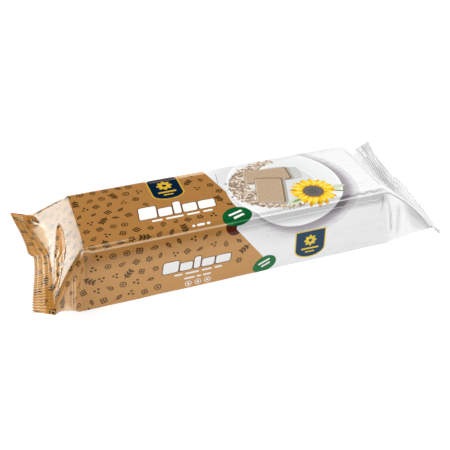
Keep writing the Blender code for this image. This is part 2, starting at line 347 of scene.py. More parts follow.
def edge_shape(below, hand):
    """How far the film lies inside a square edge, and under it, by distance below the edge."""
    inset, drop, side_drop = (
        np.where(hand < 0, sizes[-1], sizes[1]) for sizes in (EDGE_INSET, EDGE_DROP, SIDE_DROP)
    )
    near = np.where(below < 0, 1 + below / STRIP, 1 - below / SIDE_STRIP).clip(0.0, 1.0)
    swell = SIDE_SWELL * np.sin(np.pi * np.clip((below - 1) / SIDE_SWELL_WAY, 0.0, 1.0)) * (hand < 0)
    held = np.where(below > 0, side_drop * np.clip(1 - below / HEIGHT, 0.0, 1.0), side_drop * near)
    return np.array((inset * near - swell, held + (drop - side_drop) * near))


def round_bar(run, girth):
    """y and z of the tube round the bar, with its long edges. The left corner is softer."""
    way = np.abs(girth)
    side = np.where(girth < 0, -1.0, 1.0)
    below = way - WIDTH / 2
    from_base = TUBE / 2 - way
    on_top = below <= 0
    on_side = ~on_top & (below < HEIGHT)
    kept = np.where(run < 0, smooth(0.0, CORNER, fold_run(girth) + run), 1.0)
    inset, drop = edge_shape(below, side) * kept
    y = np.where(on_top, way - inset, np.where(on_side, WIDTH / 2 - inset, from_base))
    z = np.where(on_top, HEIGHT - drop, np.where(on_side, HEIGHT - below - drop, base_height(from_base)))
    return side * y, z


def in_crimp(end, y, depth, layer):
    """A point of the crimp: depth from its inner line, layer +1 above to -1 below."""
    sizes = bpy.context.scene.halva_sizes
    x_in, z_in = crimp_line(end, "inner", y)
    x_out, z_out = crimp_line(end, "outer", y)
    x_out = x_out + end * JOG * (0.5 - smooth(-JOG_WIDTH, JOG_WIDTH, y))
    width = np.hypot(x_out - x_in, z_out - z_in)
    share = np.clip(depth / CRIMP_DEPTH, 0.0, 1.0)
    rib = ribs(y)
    lift = layer * sizes.crimp_thickness / MM / 2
    lift = lift + sizes.rib_height / MM * rib * smooth(0.0, RIB_FADE, depth)
    x = lerp(x_in, x_out, share) - lift * (z_out - z_in) / width
    z = lerp(z_in, z_out, share) + lift * (x_out - x_in) / width
    return x + sizes.zigzag / MM * rib * smooth(0.9, 1.0, share), z


def end_panel(end, y, share, above):
    """Reach and height on the sloping panel above or below, share of the way out."""
    x_in, z_in = in_crimp(end, y, np.zeros_like(y), above * share)
    if above > 0:
        bulge = lerp(TOP_BULGE_FRONT, TOP_BULGE_BACK, smooth(-HALF_CRIMP, -6.0, y))
        return lerp(TOP_END, x_in, share), lerp(HEIGHT, z_in, share**bulge)
    return lerp(BASE_END, x_in, share), lerp(0.0, z_in, share ** BASE_BULGE[end])


def ear_bend(end, hand, below, share):
    """How far the film beside an ear's fold is bent down, but for the fold's ends."""
    depth, width = (np.where(hand < 0, EAR_BEND[end, -1][k], EAR_BEND[end, 1][k]) for k in (0, 1))
    return depth * band(share, *EAR_BENT) * np.clip(1 - np.abs(below) / width, 0.0, 1.0)


def end_points(end, hand, way, share, depth):
    """Film points past the end fold: the two panels, the ear between them, the crimp."""
    half_gap = np.maximum(HEIGHT / 2 * (1 - share), CRIMP_TIP)
    reach = HALF_CRIMP - half_gap
    # The right end keeps the long edges' shape for a short way
    on_bar = (end > 0) * (1 - smooth(0.0, EDGE_WAY, share))
    inset, drop = edge_shape(way - reach, hand)
    inset, drop = hand * on_bar * inset, on_bar * drop + ear_bend(end, hand, way - reach, share)
    # The ear, between the folds of the panel above and the panel below
    down = np.clip((way - reach) / (2 * half_gap), 0.0, 1.0)
    fold_y = hand * (WIDTH / 2 + HEIGHT / 2 * share)
    (high_x, high_z), (low_x, low_z) = (end_panel(end, fold_y, share, above) for above in (1, -1))
    swell = EAR_SWELL[end] * band(share, *EAR_SWOLLEN) * (1 - (1 - 2 * down) ** 4)
    ear = lerp(high_x, low_x, down), fold_y - inset + hand * swell, lerp(high_z, low_z, down) - drop
    # The two panels, which keep the film's own y
    high_y, low_y = hand * way, hand * (TUBE / 2 - way)
    high_x, high_z = end_panel(end, high_y, share, 1)
    low_x, low_z = end_panel(end, low_y, share, -1)
    upper = high_x, high_y - inset, high_z - drop
    lower = low_x, low_y, low_z + on_bar * base_height(low_y)
    places = np.where(way <= reach, upper, np.where(way >= TUBE / 2 - reach, lower, ear))
    # The crimp, whose film turns round a tip of small radius
    layer = np.clip((HALF_CRIMP - way) / CRIMP_TIP, -1.0, 1.0)
    flat_y = np.where(layer > 0, high_y, low_y)
    flat_x, flat_z = in_crimp(end, flat_y, depth, layer)
    return np.where(depth > 0, (flat_x, flat_y, flat_z), places) * ((end,), (1,), (1,))


def sharp_points(run, girth):
    """Where film points lie, with sharp folds: an array of x, y, z."""
    places = np.array((run, *round_bar(run, girth)))
    way, hand = np.abs(girth), np.where(girth < 0, -1.0, 1.0)
    share = end_share(run, girth)
    depth = np.clip(np.abs(run) - CRIMP_RUN, 0.0, None)
    for end in (-1, 1):
        past = (end * run > 0) & (share > 0)
        places[:, past] = end_points(end, hand[past], way[past], share[past], depth[past])
    return places.T


def beside(run, girth, start, end):
    """Share of the way along a line on the film, and distance to its left."""
    along = np.array(end) - np.array(start)
    across = run - start[0], girth - start[1]
    share = (across[0] * along[0] + across[1] * along[1]) / (along @ along)
    away = (across[1] * along[0] - across[0] * along[1]) / np.hypot(*along)
    return share, away


def spindle(share):
    """Half width of a dart at a share of its length, as a share of its widest place."""
    return np.sin(np.pi * np.clip(share, 0.0, 1.0) ** 0.75)


def dart(run, girth, start, end, half_width):
    """How deep a point lies in a dart, as a share of the dart's half width."""
    share, away = beside(run, girth, start, end)
    return np.clip(spindle(share) - np.abs(away) / half_width, 0.0, 1.0)


def fold_radius(run, girth):
    """Radius of the folds: full on the bar, small along the ears, none in the crimp."""
    share = end_share(run, girth)
    radius = lerp(FOLD_RADIUS, EAR_RADIUS, smooth(0.0, 0.35, share))
    return radius * (1 - smooth(0.8, 1.0, share))


def rounded_points(run, girth):
    """Where film points lie, with the folds rounded and the darts pressed in."""
    radius = fold_radius(run, girth)
    total = sharp_points(run, girth)
    for k in range(RING):
        turn = 2 * np.pi * k / RING
        ring = radius * (INNER_RING if k % 2 else 1.0)
        total = total + sharp_points(run + ring * np.cos(turn), wrapped(girth + ring * np.sin(turn)))
    inward = np.array((math.sqrt(0.5), 0.0, -math.sqrt(0.5)))
    depth = sum(DART_SLOPE * line[2] * dart(run, girth, *line) for line in DARTS)
    return total / (RING + 1) + depth[..., None] * inward


def ridge(distance, half_width):
    """Profile of a crease: 1 on its line, falling softly to 0 at its half width."""
    return (1 - np.clip(np.abs(distance) / half_width, 0.0, 1.0) ** 2) ** 2


def wrinkles(run, girth, size, stretch, draw):
    """Random film creases of about the given size, from 0 to 1: narrow where they crest."""
    draw = np.random.default_rng(draw)
    total = np.zeros_like(run)
    for _ in range(5):
        turn, start = draw.uniform(0, np.pi, 2)
        across = run * math.cos(turn) * stretch[0] + girth * math.sin(turn) * stretch[1]
        bend = 0.35 * np.sin(2 * np.pi * (run * 0.31 - girth * 0.23) / size + 5 * start)
        total += 1 - np.abs(np.sin(np.pi * across / size + bend + 3 * start))
    return total / 5


def ear_way(run, girth):
    """Distance on the film below the long edge or, past the end fold, below the ear's fold."""
    return np.abs(girth) - WIDTH / 2 - HEIGHT / 2 * end_share(run, girth)


def scallop(run):
    """How far the creases along the long edges swing from side to side near the right end."""
    return smooth(SCALLOP_START, SCALLOP_START + SCALLOP_RISE, run) * np.sin(2 * np.pi * run / SCALLOP_PITCH)


def creased(run, girth, crease):
    """How far on a crease each point lies: 1 on its line, 0 beside it and past its ends."""
    start, end, bow, swing, _, half_width, _ = crease
    share, away = beside(run, girth, start, end)
    share = np.clip(share, 0.0, 1.0)
    fade = min(0.3, CREASE_FADE / math.dist(start, end))
    return band(share, 0.0, fade, 1 - fade, 1.0) * ridge(
        away - 4 * bow * share * (1 - share) - swing * scallop(run), half_width
    )


def in_patch(run, girth, outline, softness):
    """1 inside a convex outline given anticlockwise, and softly 0 outside."""
    found = np.ones_like(run)
    for start, end in zip(outline, outline[1:] + outline[:1]):
        found = found * smooth(-softness, softness, beside(run, girth, start, end)[1])
    return found


def crumples(run, girth):
    """Sharp small folds down the long dart of the left end: where they are, and their crests."""
    start, end, half_width = DARTS[0]
    share, away = beside(run, girth, start, end)
    where = smooth(0.34, 0.46, share) * (dart(run, girth, start, end, half_width) > 0)
    sway = 0.30 * np.sin(share * 15) + 0.12 * np.sin(share * 41)
    crests = 0.5 + 0.5 * np.cos(2 * np.pi * (away / CRUMPLE_PITCH + sway))
    return where, crests**2


def ribs(y):
    """Wave of the crimps' ribs, 1 on their crests and -1 between them."""
    return np.cos(2 * np.pi * y * RIBS / (2 * HALF_CRIMP))


def rib_painted_light(run, girth):
    """Painted shade between the crimps' ribs and painted highlight on their crests, with blocks of both."""
    depth = np.abs(run) - CRIMP_RUN
    on_top = np.where(np.abs(girth) > HALF_CRIMP, TUBE / 2 - np.abs(girth), np.abs(girth)) * np.sign(girth)
    crest, valley = (np.clip(wave, 0.0, 1.0) ** 2 for wave in (ribs(on_top), -ribs(on_top)))
    left, middle, back = BETWEEN_RIBS_TONES
    dark = np.where(run < 0, left, lerp(middle, back, smooth(4.0, 12.0, on_top))) * valley
    pale = np.where(run < 0, *RIB_CREST_TONES) * crest
    for end, girths, depths, darker, paler in CRIMP_PAINTED_LIGHT:
        inside = end * run > 0
        for value, (low, high), soft in ((on_top, girths, 0.7), (depth, depths, 0.3)):
            inside = inside * band(value, low - soft, low + soft, high - soft, high + soft)
        dark = dark + darker * inside
        pale = pale + paler * inside * lerp(0.12, 1.0, crest)
    pressed = smooth(0.0, RIB_FADE, depth)
    return pressed * dark, pressed * pale


def relief(run, girth):
    """Height of creases and waves of the film, outwards."""
    height = sum(crease[4] * creased(run, girth, crease) for crease in CREASES)
    share, way = end_share(run, girth), np.abs(girth)
    # Gathers that run out from the crimps
    gather = band(share, *GATHERED) * np.where(run < 0, LEFT_GATHERS, 1.0)
    height += GATHER_HEIGHT * gather * (wrinkles(run, girth, *GATHERS) - 0.4)
    where, crests = crumples(run, girth)
    height += CRUMPLE_HEIGHT * where * crests * (1 - smooth(0.97, 1.0, share))
    # Slack of the film over the long sides
    on_side = smooth(*SLACK_WAYS, way) * (1 - smooth(0.0, 0.1, share))
    slack = np.sin(run / 5.1 + 0.9 * np.sin(girth / 6.0)) + np.sin(run / 3.1 - girth / 5.0)
    height += SLACK_HEIGHT * on_side * slack
    # Uneven pressure of the crimping jaws, except at the crimp's tips
    depth = np.abs(run) - CRIMP_RUN
    in_jaws = band(depth, 0.2, 1.0, CRIMP_DEPTH - 0.8, CRIMP_DEPTH)
    in_jaws = in_jaws * smooth(0.3, 1.5, np.abs(way - HALF_CRIMP))
    uneven = JAW_STEP * np.sin(2 * np.pi * depth / JAW_PITCH)
    uneven = uneven + JAW_WAVE_HEIGHT * (wrinkles(run, girth, *JAW_WAVES) - 0.5)
    return height + in_jaws * uneven


def tones(run, girth):
    """Painted shade in folds and strips, and painted highlight on crests, both from 0 to 1."""
    below, share = ear_way(run, girth), end_share(run, girth)
    white = smooth(-2.0, 2.0, run - ground_edge(girth))
    on_bar = 1 - smooth(0.0, EDGE_WAY, share)
    # Painted shade on the strips on both sides of the front edge, over it only on white film
    over, under = band(below, *OVER_EDGE), band(below, *UNDER_EDGE)
    edge = OVER_EDGE_TONE * white * over + lerp(*UNDER_EDGE_TONES, white) * under
    dark = (girth < 0) * on_bar * edge
    # Painted shade under the folds of the ears and in a line beside them, painted highlight on the crests
    # beside the right ears' folds
    dark = dark + band(below, *UNDER_EAR) * (1 - on_bar) * np.where(run < 0, *UNDER_EAR_TONES)
    line = ridge(below - 0.4 - 1.2 * share, 0.65) * band(share, *EAR_LINE)
    dark = dark + line * np.where(run < 0, *EAR_LINE_TONES)
    pale = EAR_CREST_TONE * (run > 0) * ridge(below + 0.7, 0.7) * band(share, *EAR_CREST)
    # Painted shade over the left panel, whose gloss then hides its ink, except in the long dart
    on_panel = (run < 0) * (1 - smooth(-2.0, 0.0, below)) * band(share, *PANEL)
    dark = dark + on_panel * (1 - smooth(0.0, 0.15, dart(run, girth, *DARTS[0])))
    # Painted shade and painted highlight of the patches, the creases and the small folds
    marks = [(tone, in_patch(run, girth, outline, softness)) for outline, softness, tone in PAINTED_LIGHT_PATCHES]
    marks += [(crease[6], creased(run, girth, crease)) for crease in CREASES]
    for tone, inside in marks:
        dark, pale = dark + np.clip(tone * inside, 0.0, 1.0), pale + np.clip(-tone * inside, 0.0, 1.0)
    where, crests = crumples(run, girth)
    dark = dark + CRUMPLE_TONES[0] * where * (1 - crests) ** 2
    pale = pale + CRUMPLE_TONES[1] * where * crests**3
    # Painted shade along the left crimp, and the painted shade and highlight of both crimps' ribs
    dark = dark + CRIMP_LINE_TONE * ridge(np.abs(run) - CRIMP_RUN + 0.5, 0.8) * (run < 0)
    darker, paler = rib_painted_light(run, girth)
    dark = (dark + darker) * lerp(1.0, WHITE_SHARE, white)
    return np.clip(dark, 0.0, 1.0), np.clip(pale + paler, 0.0, 1.0)


def unit_normals(places):
    """Outward normals, from each place and its two neighbours along and round the film."""
    normal = np.cross(places[1] - places[0], places[2] - places[0])
    return normal / np.maximum(np.linalg.norm(normal, axis=1, keepdims=True), 1e-9)


def film_points(run, girth):
    """Final places of film points, and the film's outward normals there."""
    probes = ((run, girth), (run + PROBE, girth), (run, wrapped(girth + PROBE)))
    base = [rounded_points(*probe) for probe in probes]
    normal = unit_normals(base)
    found = [place + normal * relief(*probe)[:, None] for place, probe in zip(base, probes)]
    return found[0], unit_normals(found)


# Outlines of printed shapes, on the flat film


def turned(points, centre, angle):
    """Points turned by an angle in degrees and moved to a centre."""
    c, s = math.cos(math.radians(angle)), math.sin(math.radians(angle))
    return np.array(points) @ np.array(((c, s), (-s, c))) + centre


def spot(x, y, centre, angle):
    """The place of x, y in a drawing that is turned about its centre."""
    return turned(((x, y),), centre, angle)[0]


def ellipse(centre, radii, angle=0.0, count=40):
    turn = np.linspace(0, 2 * np.pi, count, endpoint=False)
    return turned(np.stack((radii[0] * np.cos(turn), radii[1] * np.sin(turn)), 1), centre, angle)


def drop(start, size, angle, blunt=0.5, sharp=1.0, count=9):
    """A seed, petal or leaf from its blunt end: larger blunt or sharp makes that end pointed."""
    s = (1 - np.cos(np.linspace(0, np.pi, count))) / 2
    half = s**blunt * (1 - s) ** sharp
    half = half / half.max() * size[1] / 2
    upper = np.stack((s * size[0], half), 1)
    lower = np.stack((s[-2:0:-1] * size[0], -half[-2:0:-1]), 1)
    return turned(np.concatenate((upper, lower)), start, angle)


def rounded(corners, radius, steps=4):
    """A polygon with rounded corners, given anticlockwise or clockwise."""
    corners = np.array(corners, float)
    found = []
    for k, corner in enumerate(corners):
        before, after = corners[k - 1] - corner, corners[(k + 1) % len(corners)] - corner
        reach = min(radius, np.hypot(*before) / 2, np.hypot(*after) / 2)
        first = corner + before / np.hypot(*before) * reach
        last = corner + after / np.hypot(*after) * reach
        for share in np.linspace(0, 1, steps + 1):
            found.append(lerp(lerp(first, corner, share), lerp(corner, last, share), share))
    return np.array(found)


def box(centre, size, angle=0.0, radius=0.3):
    """A rectangle with rounded corners."""
    wide, high = size[0] / 2, size[1] / 2
    corners = ((-wide, -high), (wide, -high), (wide, high), (-wide, high))
    return turned(rounded(corners, radius, 2), centre, angle)


def resampled(outline):
    """The outline with no step longer than the film's mesh can follow."""
    found = []
    for start, end in zip(outline, np.roll(outline, -1, axis=0)):
        reach, way = max(abs(start[0]), abs(end[0])), abs(start[1] + end[1]) / 2
        flat = reach < FLAT_RUN and any(low < way < high for low, high in FLAT_WAYS)
        step = CRIMP_PRINT_STEP if reach > CRIMP_RUN - 1 else FLAT_PRINT_STEP if flat else PRINT_STEP
        count = max(1, math.ceil(np.hypot(*(end - start)) / step))
        found += [lerp(start, end, k / count) for k in range(count)]
    return np.array(found)


# The print: (ink, outline) in the order in which they are laid on

GROUND_LINE = (
    ((-72.4, 5.0), (-51.4, 7.5), (-44.5, 10.0), (-42.0, 8.6), (-25.0, -3.1))
    + ((-23.5, -3.0), (-19.0, 4.2), (-13.2, 3.5), (2.1, -0.3), (21.6, -4.3))
    + ((25.0, -3.1), (42.0, 8.6), (44.5, 10.0), (51.4, 7.5), (72.4, 5.0))
)


def ground_edge(girth):
    """Run of the line where caramel meets the pictured table."""
    girths, runs = np.array(GROUND_LINE).T
    return np.interp(girth, girths, runs)


def rosette(centre, size, angle, petals):
    """A flower outline with round petals, from its outer and its inner radius."""
    turn = np.linspace(0, 2 * np.pi, 4 * petals, endpoint=False)
    radius = lerp(size[1], size[0], (0.5 + 0.5 * np.cos(petals * turn)) ** 0.6)
    return turned(np.stack((radius * np.cos(turn), radius * np.sin(turn)), 1), centre, angle)


def disc(ink, radius, count, place=(0, 0)):
    """A disc of a small line drawing."""
    return ink, ellipse, place, (radius, radius), 0, count


# Small line drawings, about one unit large: ink, form, place, size, turn, and what else
# the form asks for. Corner radii are in millimetres.
MOTIFS = (
    # Seed
    (
        ("motif", drop, (-0.5, 0), (1, 0.62), 0, 0.5, 1, 6),
        ("caramel", drop, (-0.34, 0), (0.68, 0.34), 0, 0.5, 1, 5),
        ("motif", box, (-0.02, 0), (0.42, 0.13), 0, 0.05),
    ),
    # Flower
    (("motif", rosette, (0, 0), (0.5, 0.24), 0, 6), disc("caramel", 0.19, 10), disc("motif", 0.1, 8)),
    # Leaf
    (
        ("motif", drop, (-0.42, 0), (0.86, 0.52), 0, 0.8, 0.9, 7),
        ("caramel", drop, (-0.26, 0), (0.56, 0.26), 0, 0.8, 0.9, 5),
        ("motif", box, (-0.12, 0), (0.9, 0.12), 0, 0.05),
    ),
    # Coin
    (disc("motif", 0.45, 14), disc("caramel", 0.31, 12), disc("motif", 0.17, 8)),
    # Berries
    tuple(disc("motif", 0.17, 8, (0.3 * math.cos(k * 2.094), 0.3 * math.sin(k * 2.094))) for k in range(3)),
    # Lozenge
    (
        ("motif", box, (0, 0), (0.78, 0.78), 0, 0.3),
        ("caramel", box, (0, 0), (0.5, 0.5), 0, 0.15),
        ("motif", box, (0, 0), (0.56, 0.13), 0, 0.05),
        ("motif", box, (0, 0), (0.56, 0.13), 90, 0.05),
    ),
    # Sprig
    (
        ("motif", box, (0, 0), (1.5, 0.12), 0, 0.05),
        *(
            ("motif", drop, (along, 0), (0.55, 0.27), turn, 0.7, 0.7, 5)
            for along in (-0.45, -0.05, 0.35)
            for turn in (-48, 48)
        ),
    ),
)
SPRIG = 6

# How the small drawings are spread over the caramel ground
MOTIF_PITCH = 5.6
MOTIF_COLUMNS = 20
MOTIF_START = -CUT_RUN + 1.8
MOTIF_SHIFT = 0.6
MOTIF_SIZES = (3.1, 3.7)

TILE_SLANT = 0.16
TAB_ROUND = 0.62

# The numbers that start the random draws of the print
MOTIF_DRAW = 7
FLOWER_DRAW = 3
SEED_DRAW = 11
TABLE_DRAW = 21

# Where no small drawing goes: lowest and highest run and girth
RESERVED = (
    ((-43, -12.5), (-5.5, 2.6)),
    ((-34, 1), (-14.5, 26)),
    ((-23.5, -21), (-11.5, -16.5)),
    ((-10.5, -27.5), (8, -10)),
    ((-38, -51.5), (-3.5, -33)),
    ((0, -53), (18, -41)),
    ((-38, 33), (-3.5, 51.5)),
    ((0, 41), (18, 53)),
)


def motifs():
    """The all-over pattern of the caramel ground, clear of the reserved places."""
    draw = np.random.default_rng(MOTIF_DRAW)
    rows = round(TUBE / MOTIF_PITCH)
    for row in range(rows):
        girth = TUBE * ((row + 0.5) / rows - 0.5)
        for column in range(MOTIF_COLUMNS):
            run = MOTIF_START + MOTIF_PITCH * (column + (0.5 if row % 2 else 0.0))
            large = (2 * row + 3 * column) % 9 == 0
            kind = SPRIG if large else int(draw.integers(SPRIG))
            angle = draw.uniform(0, 360)
            size = MOTIF_SIZES[1] if large else draw.uniform(*MOTIF_SIZES)
            centre = np.array((run, girth)) + draw.uniform(-MOTIF_SHIFT, MOTIF_SHIFT, 2)
            clear = centre[0] < ground_edge(centre[1]) - 2.2 and abs(centre[1]) < TUBE / 2 - 2.9
            for low, high in RESERVED:
                clear &= not (low[0] < centre[0] < high[0] and low[1] < centre[1] < high[1])
            for ink, form, place, extent, turn, *other in MOTIFS[kind] if clear else ():
                middle = spot(place[0] * size, place[1] * size, centre, angle)
                extent = extent[0] * size, extent[1] * size
                yield ink, form(middle, extent, angle + turn, *other)


def tiles(start, base, widths, heights, gap, edge):
    """A row of chunky slanted tiles with a dark edge, standing on a base line."""
    for ink, grown, radius in (("motif_dark", 2 * edge, 1.2), ("letter_white", 0.0, 0.9)):
        run = start
        for width, height in zip(widths, heights):
            tile = box((run + width / 2, base + height / 2), (width + grown, height + grown), 0, radius)
            tile[:, 0] += TILE_SLANT * (tile[:, 1] - base)
            yield ink, tile
            run += width + gap


def dashes(run, girth, widths, gap, height):
    """A line of short dashes, as a stand-in for small print."""
    for width in widths:
        yield "letter_white", box((run + width / 2, girth), (width, height), 0, height / 2.5)
        run += width + gap


def tab_label(centre, size):
    """A navy label with a gold rim, round below, with a rosette and two bars."""
    arc = np.linspace(0, np.pi, 17)[1:-1]
    for ink, inset in (("gold", 0.0), ("navy", 0.55)):
        wide, high = size[0] / 2 - inset, size[1] / 2 - inset
        low = -high + TAB_ROUND * wide
        curve = np.stack((wide * np.cos(arc), low - TAB_ROUND * wide * np.sin(arc)), 1)
        rim = np.concatenate((((-wide, high), (wide, high), (wide, low)), curve, ((-wide, low),)))
        yield ink, rim + centre
    heart = centre[0], centre[1] + 0.12 * size[1]
    for k in range(8):
        yield "gold", drop(heart, (0.2 * size[1], 0.1 * size[1]), 45 * k, 0.7, 0.6, 6)
    yield "navy", ellipse(heart, (0.055 * size[1], 0.055 * size[1]), 0, 12)
    for down, wide, high in ((0.17, 0.56, 0.06), (0.29, 0.3, 0.045)):
        yield "gold", box((centre[0], centre[1] - down * size[1]), (wide * size[0], high * size[1]))


def leaf_badge(centre, size, angle):
    """A green leaf with light bars, over the tip of a red-brown one."""
    length, width = size
    lower = spot(-length * 0.50, -width * 0.26, centre, angle)
    tip = drop(lower, (length * 0.56, width * 0.70), angle - 34, 0.6, 0.6, 14)
    tip[:, 0] = np.minimum(tip[:, 0], ground_edge(tip[:, 1]))
    yield "red_brown", tip
    yield "green", drop(spot(-length / 2, 0, centre, angle), size, angle, 0.62, 0.5, 20)
    for across, wide in ((0.15, 0.5), (-0.08, 0.38)):
        middle = spot(0.04 * length, across * width, centre, angle)
        yield "letter_white", box(middle, (wide * length, 0.11 * width), angle)


# Leaves behind the sunflower: ink, place, size, angle, count of points
FLOWER_LEAVES = (
    ("leaf_pale", (-6, -3), (10.5, 3.6), 200, 12),
    ("leaf_green", (-6.5, -3.6), (6, 1.6), 196, 10),
    ("leaf_pale", (6, -0.5), (9.5, 3.4), 4, 12),
    ("leaf_green", (8, -2), (6.8, 1.2), -24, 10),
)

# Rings of petals: ink, how many, share of the flower's radius, width
PETAL_RINGS = (
    ("petal_deep", 19, 1.0, 3.1),
    ("petal", 20, 0.97, 2.7),
    ("petal_light", 17, 0.90, 2.3),
    ("petal", 16, 0.74, 2.0),
    ("petal_deep", 18, 0.60, 1.0),
)
SEEDS_ROUND_HEART = 26


def sunflower(centre, reach, heart):
    """A sunflower: rings of pointed petals, a round heart, and pale leaves behind."""
    draw = np.random.default_rng(FLOWER_DRAW)
    for ink, place, size, angle, count in FLOWER_LEAVES:
        yield ink, drop(np.add(centre, place), size, angle, 0.8, 0.9, count)
    for ink, count, share, wide in PETAL_RINGS:
        for k in range(count):
            angle = 360 * (k + draw.uniform(-0.3, 0.3)) / count
            length = reach * share * draw.uniform(0.84, 1.03)
            yield ink, drop(centre, (length, wide * draw.uniform(0.8, 1.1)), angle, 1.1, 0.8, 8)
    yield "disc_edge", rosette(centre, (heart * 1.04, heart * 0.97), 0, 14)
    yield "disc", ellipse(centre, (heart * 0.9, heart * 0.9), 0, 30)
    for k in range(SEEDS_ROUND_HEART):
        place = spot(heart * 0.78, 0, centre, 360 * k / SEEDS_ROUND_HEART)
        yield "disc_edge", ellipse(place, (0.22, 0.22), 0, 5)
    yield "disc_heart", ellipse(centre, (heart * 0.46, heart * 0.46), 0, 20)


# The heap of seeds: its middle, outer radii and depth, its first and last turn in degrees,
# the count of points along its rim, and its seeds
HEAP = ((25.0, 0.2), (23.6, 19.8), 10.5)
HEAP_TURNS = (80, 276)
HEAP_STEPS = 34
SEED_COUNT = 560
SEED_SIZES = (1.5, 2.1)
SEED_INKS = ("seed", "seed_light", "seed_light", "seed", "seed_dark")


def heaped(turn, share):
    """A place in the heap: at a turn in degrees, and a share of its depth inwards."""
    centre, radii, depth = HEAP
    full = max(0.0, math.sin(math.radians((turn - 78) / 200 * 180))) ** 0.55
    inward = 1 - share * depth / radii[0] * full
    angle = math.radians(turn)
    return np.array(centre) + inward * np.array((radii[0] * math.cos(angle), radii[1] * math.sin(angle)))


def seed_heap():
    """Shelled seeds heaped in a crescent along the plate's left side."""
    draw = np.random.default_rng(SEED_DRAW)
    turns = np.linspace(*HEAP_TURNS, HEAP_STEPS)
    rim = [heaped(turn, 0.04) for turn in turns] + [heaped(turn, 0.92) for turn in turns[::-1]]
    yield "seed_shade", np.array(rim)
    for _ in range(SEED_COUNT):
        place = heaped(draw.uniform(*HEAP_TURNS), draw.uniform(0, 1))
        ink, size = SEED_INKS[int(draw.integers(len(SEED_INKS)))], draw.uniform(*SEED_SIZES)
        yield ink, drop(place, (size, 0.48 * size), draw.uniform(0, 360), 0.5, 0.8, 4)


def halva_slab(centre, size, angle, lean):
    """A cut slab of halva: shade, cut sides that show on the leaning side, arris and top."""
    layers = (
        ("plate_shade", np.array(centre) + (0.8, -0.7), 0.8, 1.5),
        ("halva_side", centre, 0.3, 1.3),
        ("halva_light", spot(-0.3 * lean[0], -0.3 * lean[1], centre, angle), -0.7, 1.0),
        ("halva", spot(-0.2 * lean[0], -0.2 * lean[1], centre, angle), -1.3, 0.8),
    )
    for ink, place, grown, radius in layers:
        yield ink, box(place, (size[0] + grown, size[1] + grown), angle, radius)


PLATE = ((26.5, -1.6), (25.4, 28.2))
PLATE_SHADOW = ((28.7, -5.0), (29.2, 32.0))
TABLE_SHADE = ((21.0, -3.0), (34.0, 38.0))

# Marks on the table: how many, where, and the radii round the plate that stay clear
TABLE_MARKS = 70
MARK_RUNS = (8, 88)
MARK_GIRTHS = (-50, 50)
MARKS_CLEAR_OF = (28, 31)

# The slabs of halva: middle, size, angle, and the way each leans. The sunflower: middle,
# reach of its petals, radius of its heart.
SLABS = (
    ((22.0, 8.1), (20.6, 10.6), -6, (1, -1)),
    ((18.7, -3.9), (12.3, 20.2), -18, (1, 1)),
)
FLOWER = ((36.2, -11.3), 11.2, 4.7)


def table_marks():
    """Faint scratches and brown specks on the pictured table."""
    draw = np.random.default_rng(TABLE_DRAW)
    for k in range(TABLE_MARKS):
        place = draw.uniform(*MARK_RUNS), draw.uniform(*MARK_GIRTHS)
        away = ((p - middle) / radius for p, middle, radius in zip(place, PLATE[0], MARKS_CLEAR_OF))
        if sum(a**2 for a in away) < 1 or place[0] < ground_edge(place[1]) + 4:
            continue
        if k % 3:
            size = draw.uniform(2, 7), 0.22
            yield "scratch", drop(place, size, draw.uniform(-4, 4), count=4)
        else:
            yield "speck", ellipse(place, (0.22, 0.18), 0, 5)


def picture():
    """A plate with seeds, two slabs of halva and a sunflower, on the pale table."""
    shade = ellipse(*TABLE_SHADE, 0, 80)
    shade[:, 0] = np.maximum(shade[:, 0], ground_edge(shade[:, 1]))
    yield "table_shade", shade
    yield from table_marks()
    yield "shadow", ellipse(*PLATE_SHADOW, 0, 96)
    yield "plate", ellipse(*PLATE, 0, 96)
    yield from seed_heap()
    yield "well_shade", box((25.4, 7.0), (24.6, 11.0), -6, 3.0)
    for slab in SLABS:
        yield from halva_slab(*slab)
    yield from sunflower(*FLOWER)


def pressed_cells():
    """The cells left by the crimping jaw's end on the right crimp: painted highlights in painted shade."""
    yield "pressed_grey", box((91.2, 31.4), (3.4, 12.8), 0, 0.6)
    for k in range(6):
        yield "pressed_white", box((90.9, 27.1 + 1.85 * k), (1.8, 1.1), -8)


def leftwards(start, end):
    """Unit vector to the left of a line."""
    return np.array((start[1] - end[1], end[0] - start[0])) / math.dist(start, end)


def dart_ground(start, end, half_width):
    """The ground inside a dart: a lighter, warmer copy of the caramel, as painted light."""
    share = np.linspace(0.03, 0.97, 28)[:, None]
    middle = lerp(np.array(start), np.array(end), share)
    rim = 0.86 * half_width * spindle(share) * leftwards(start, end)
    return np.concatenate((middle + rim, (middle - rim)[::-1]))


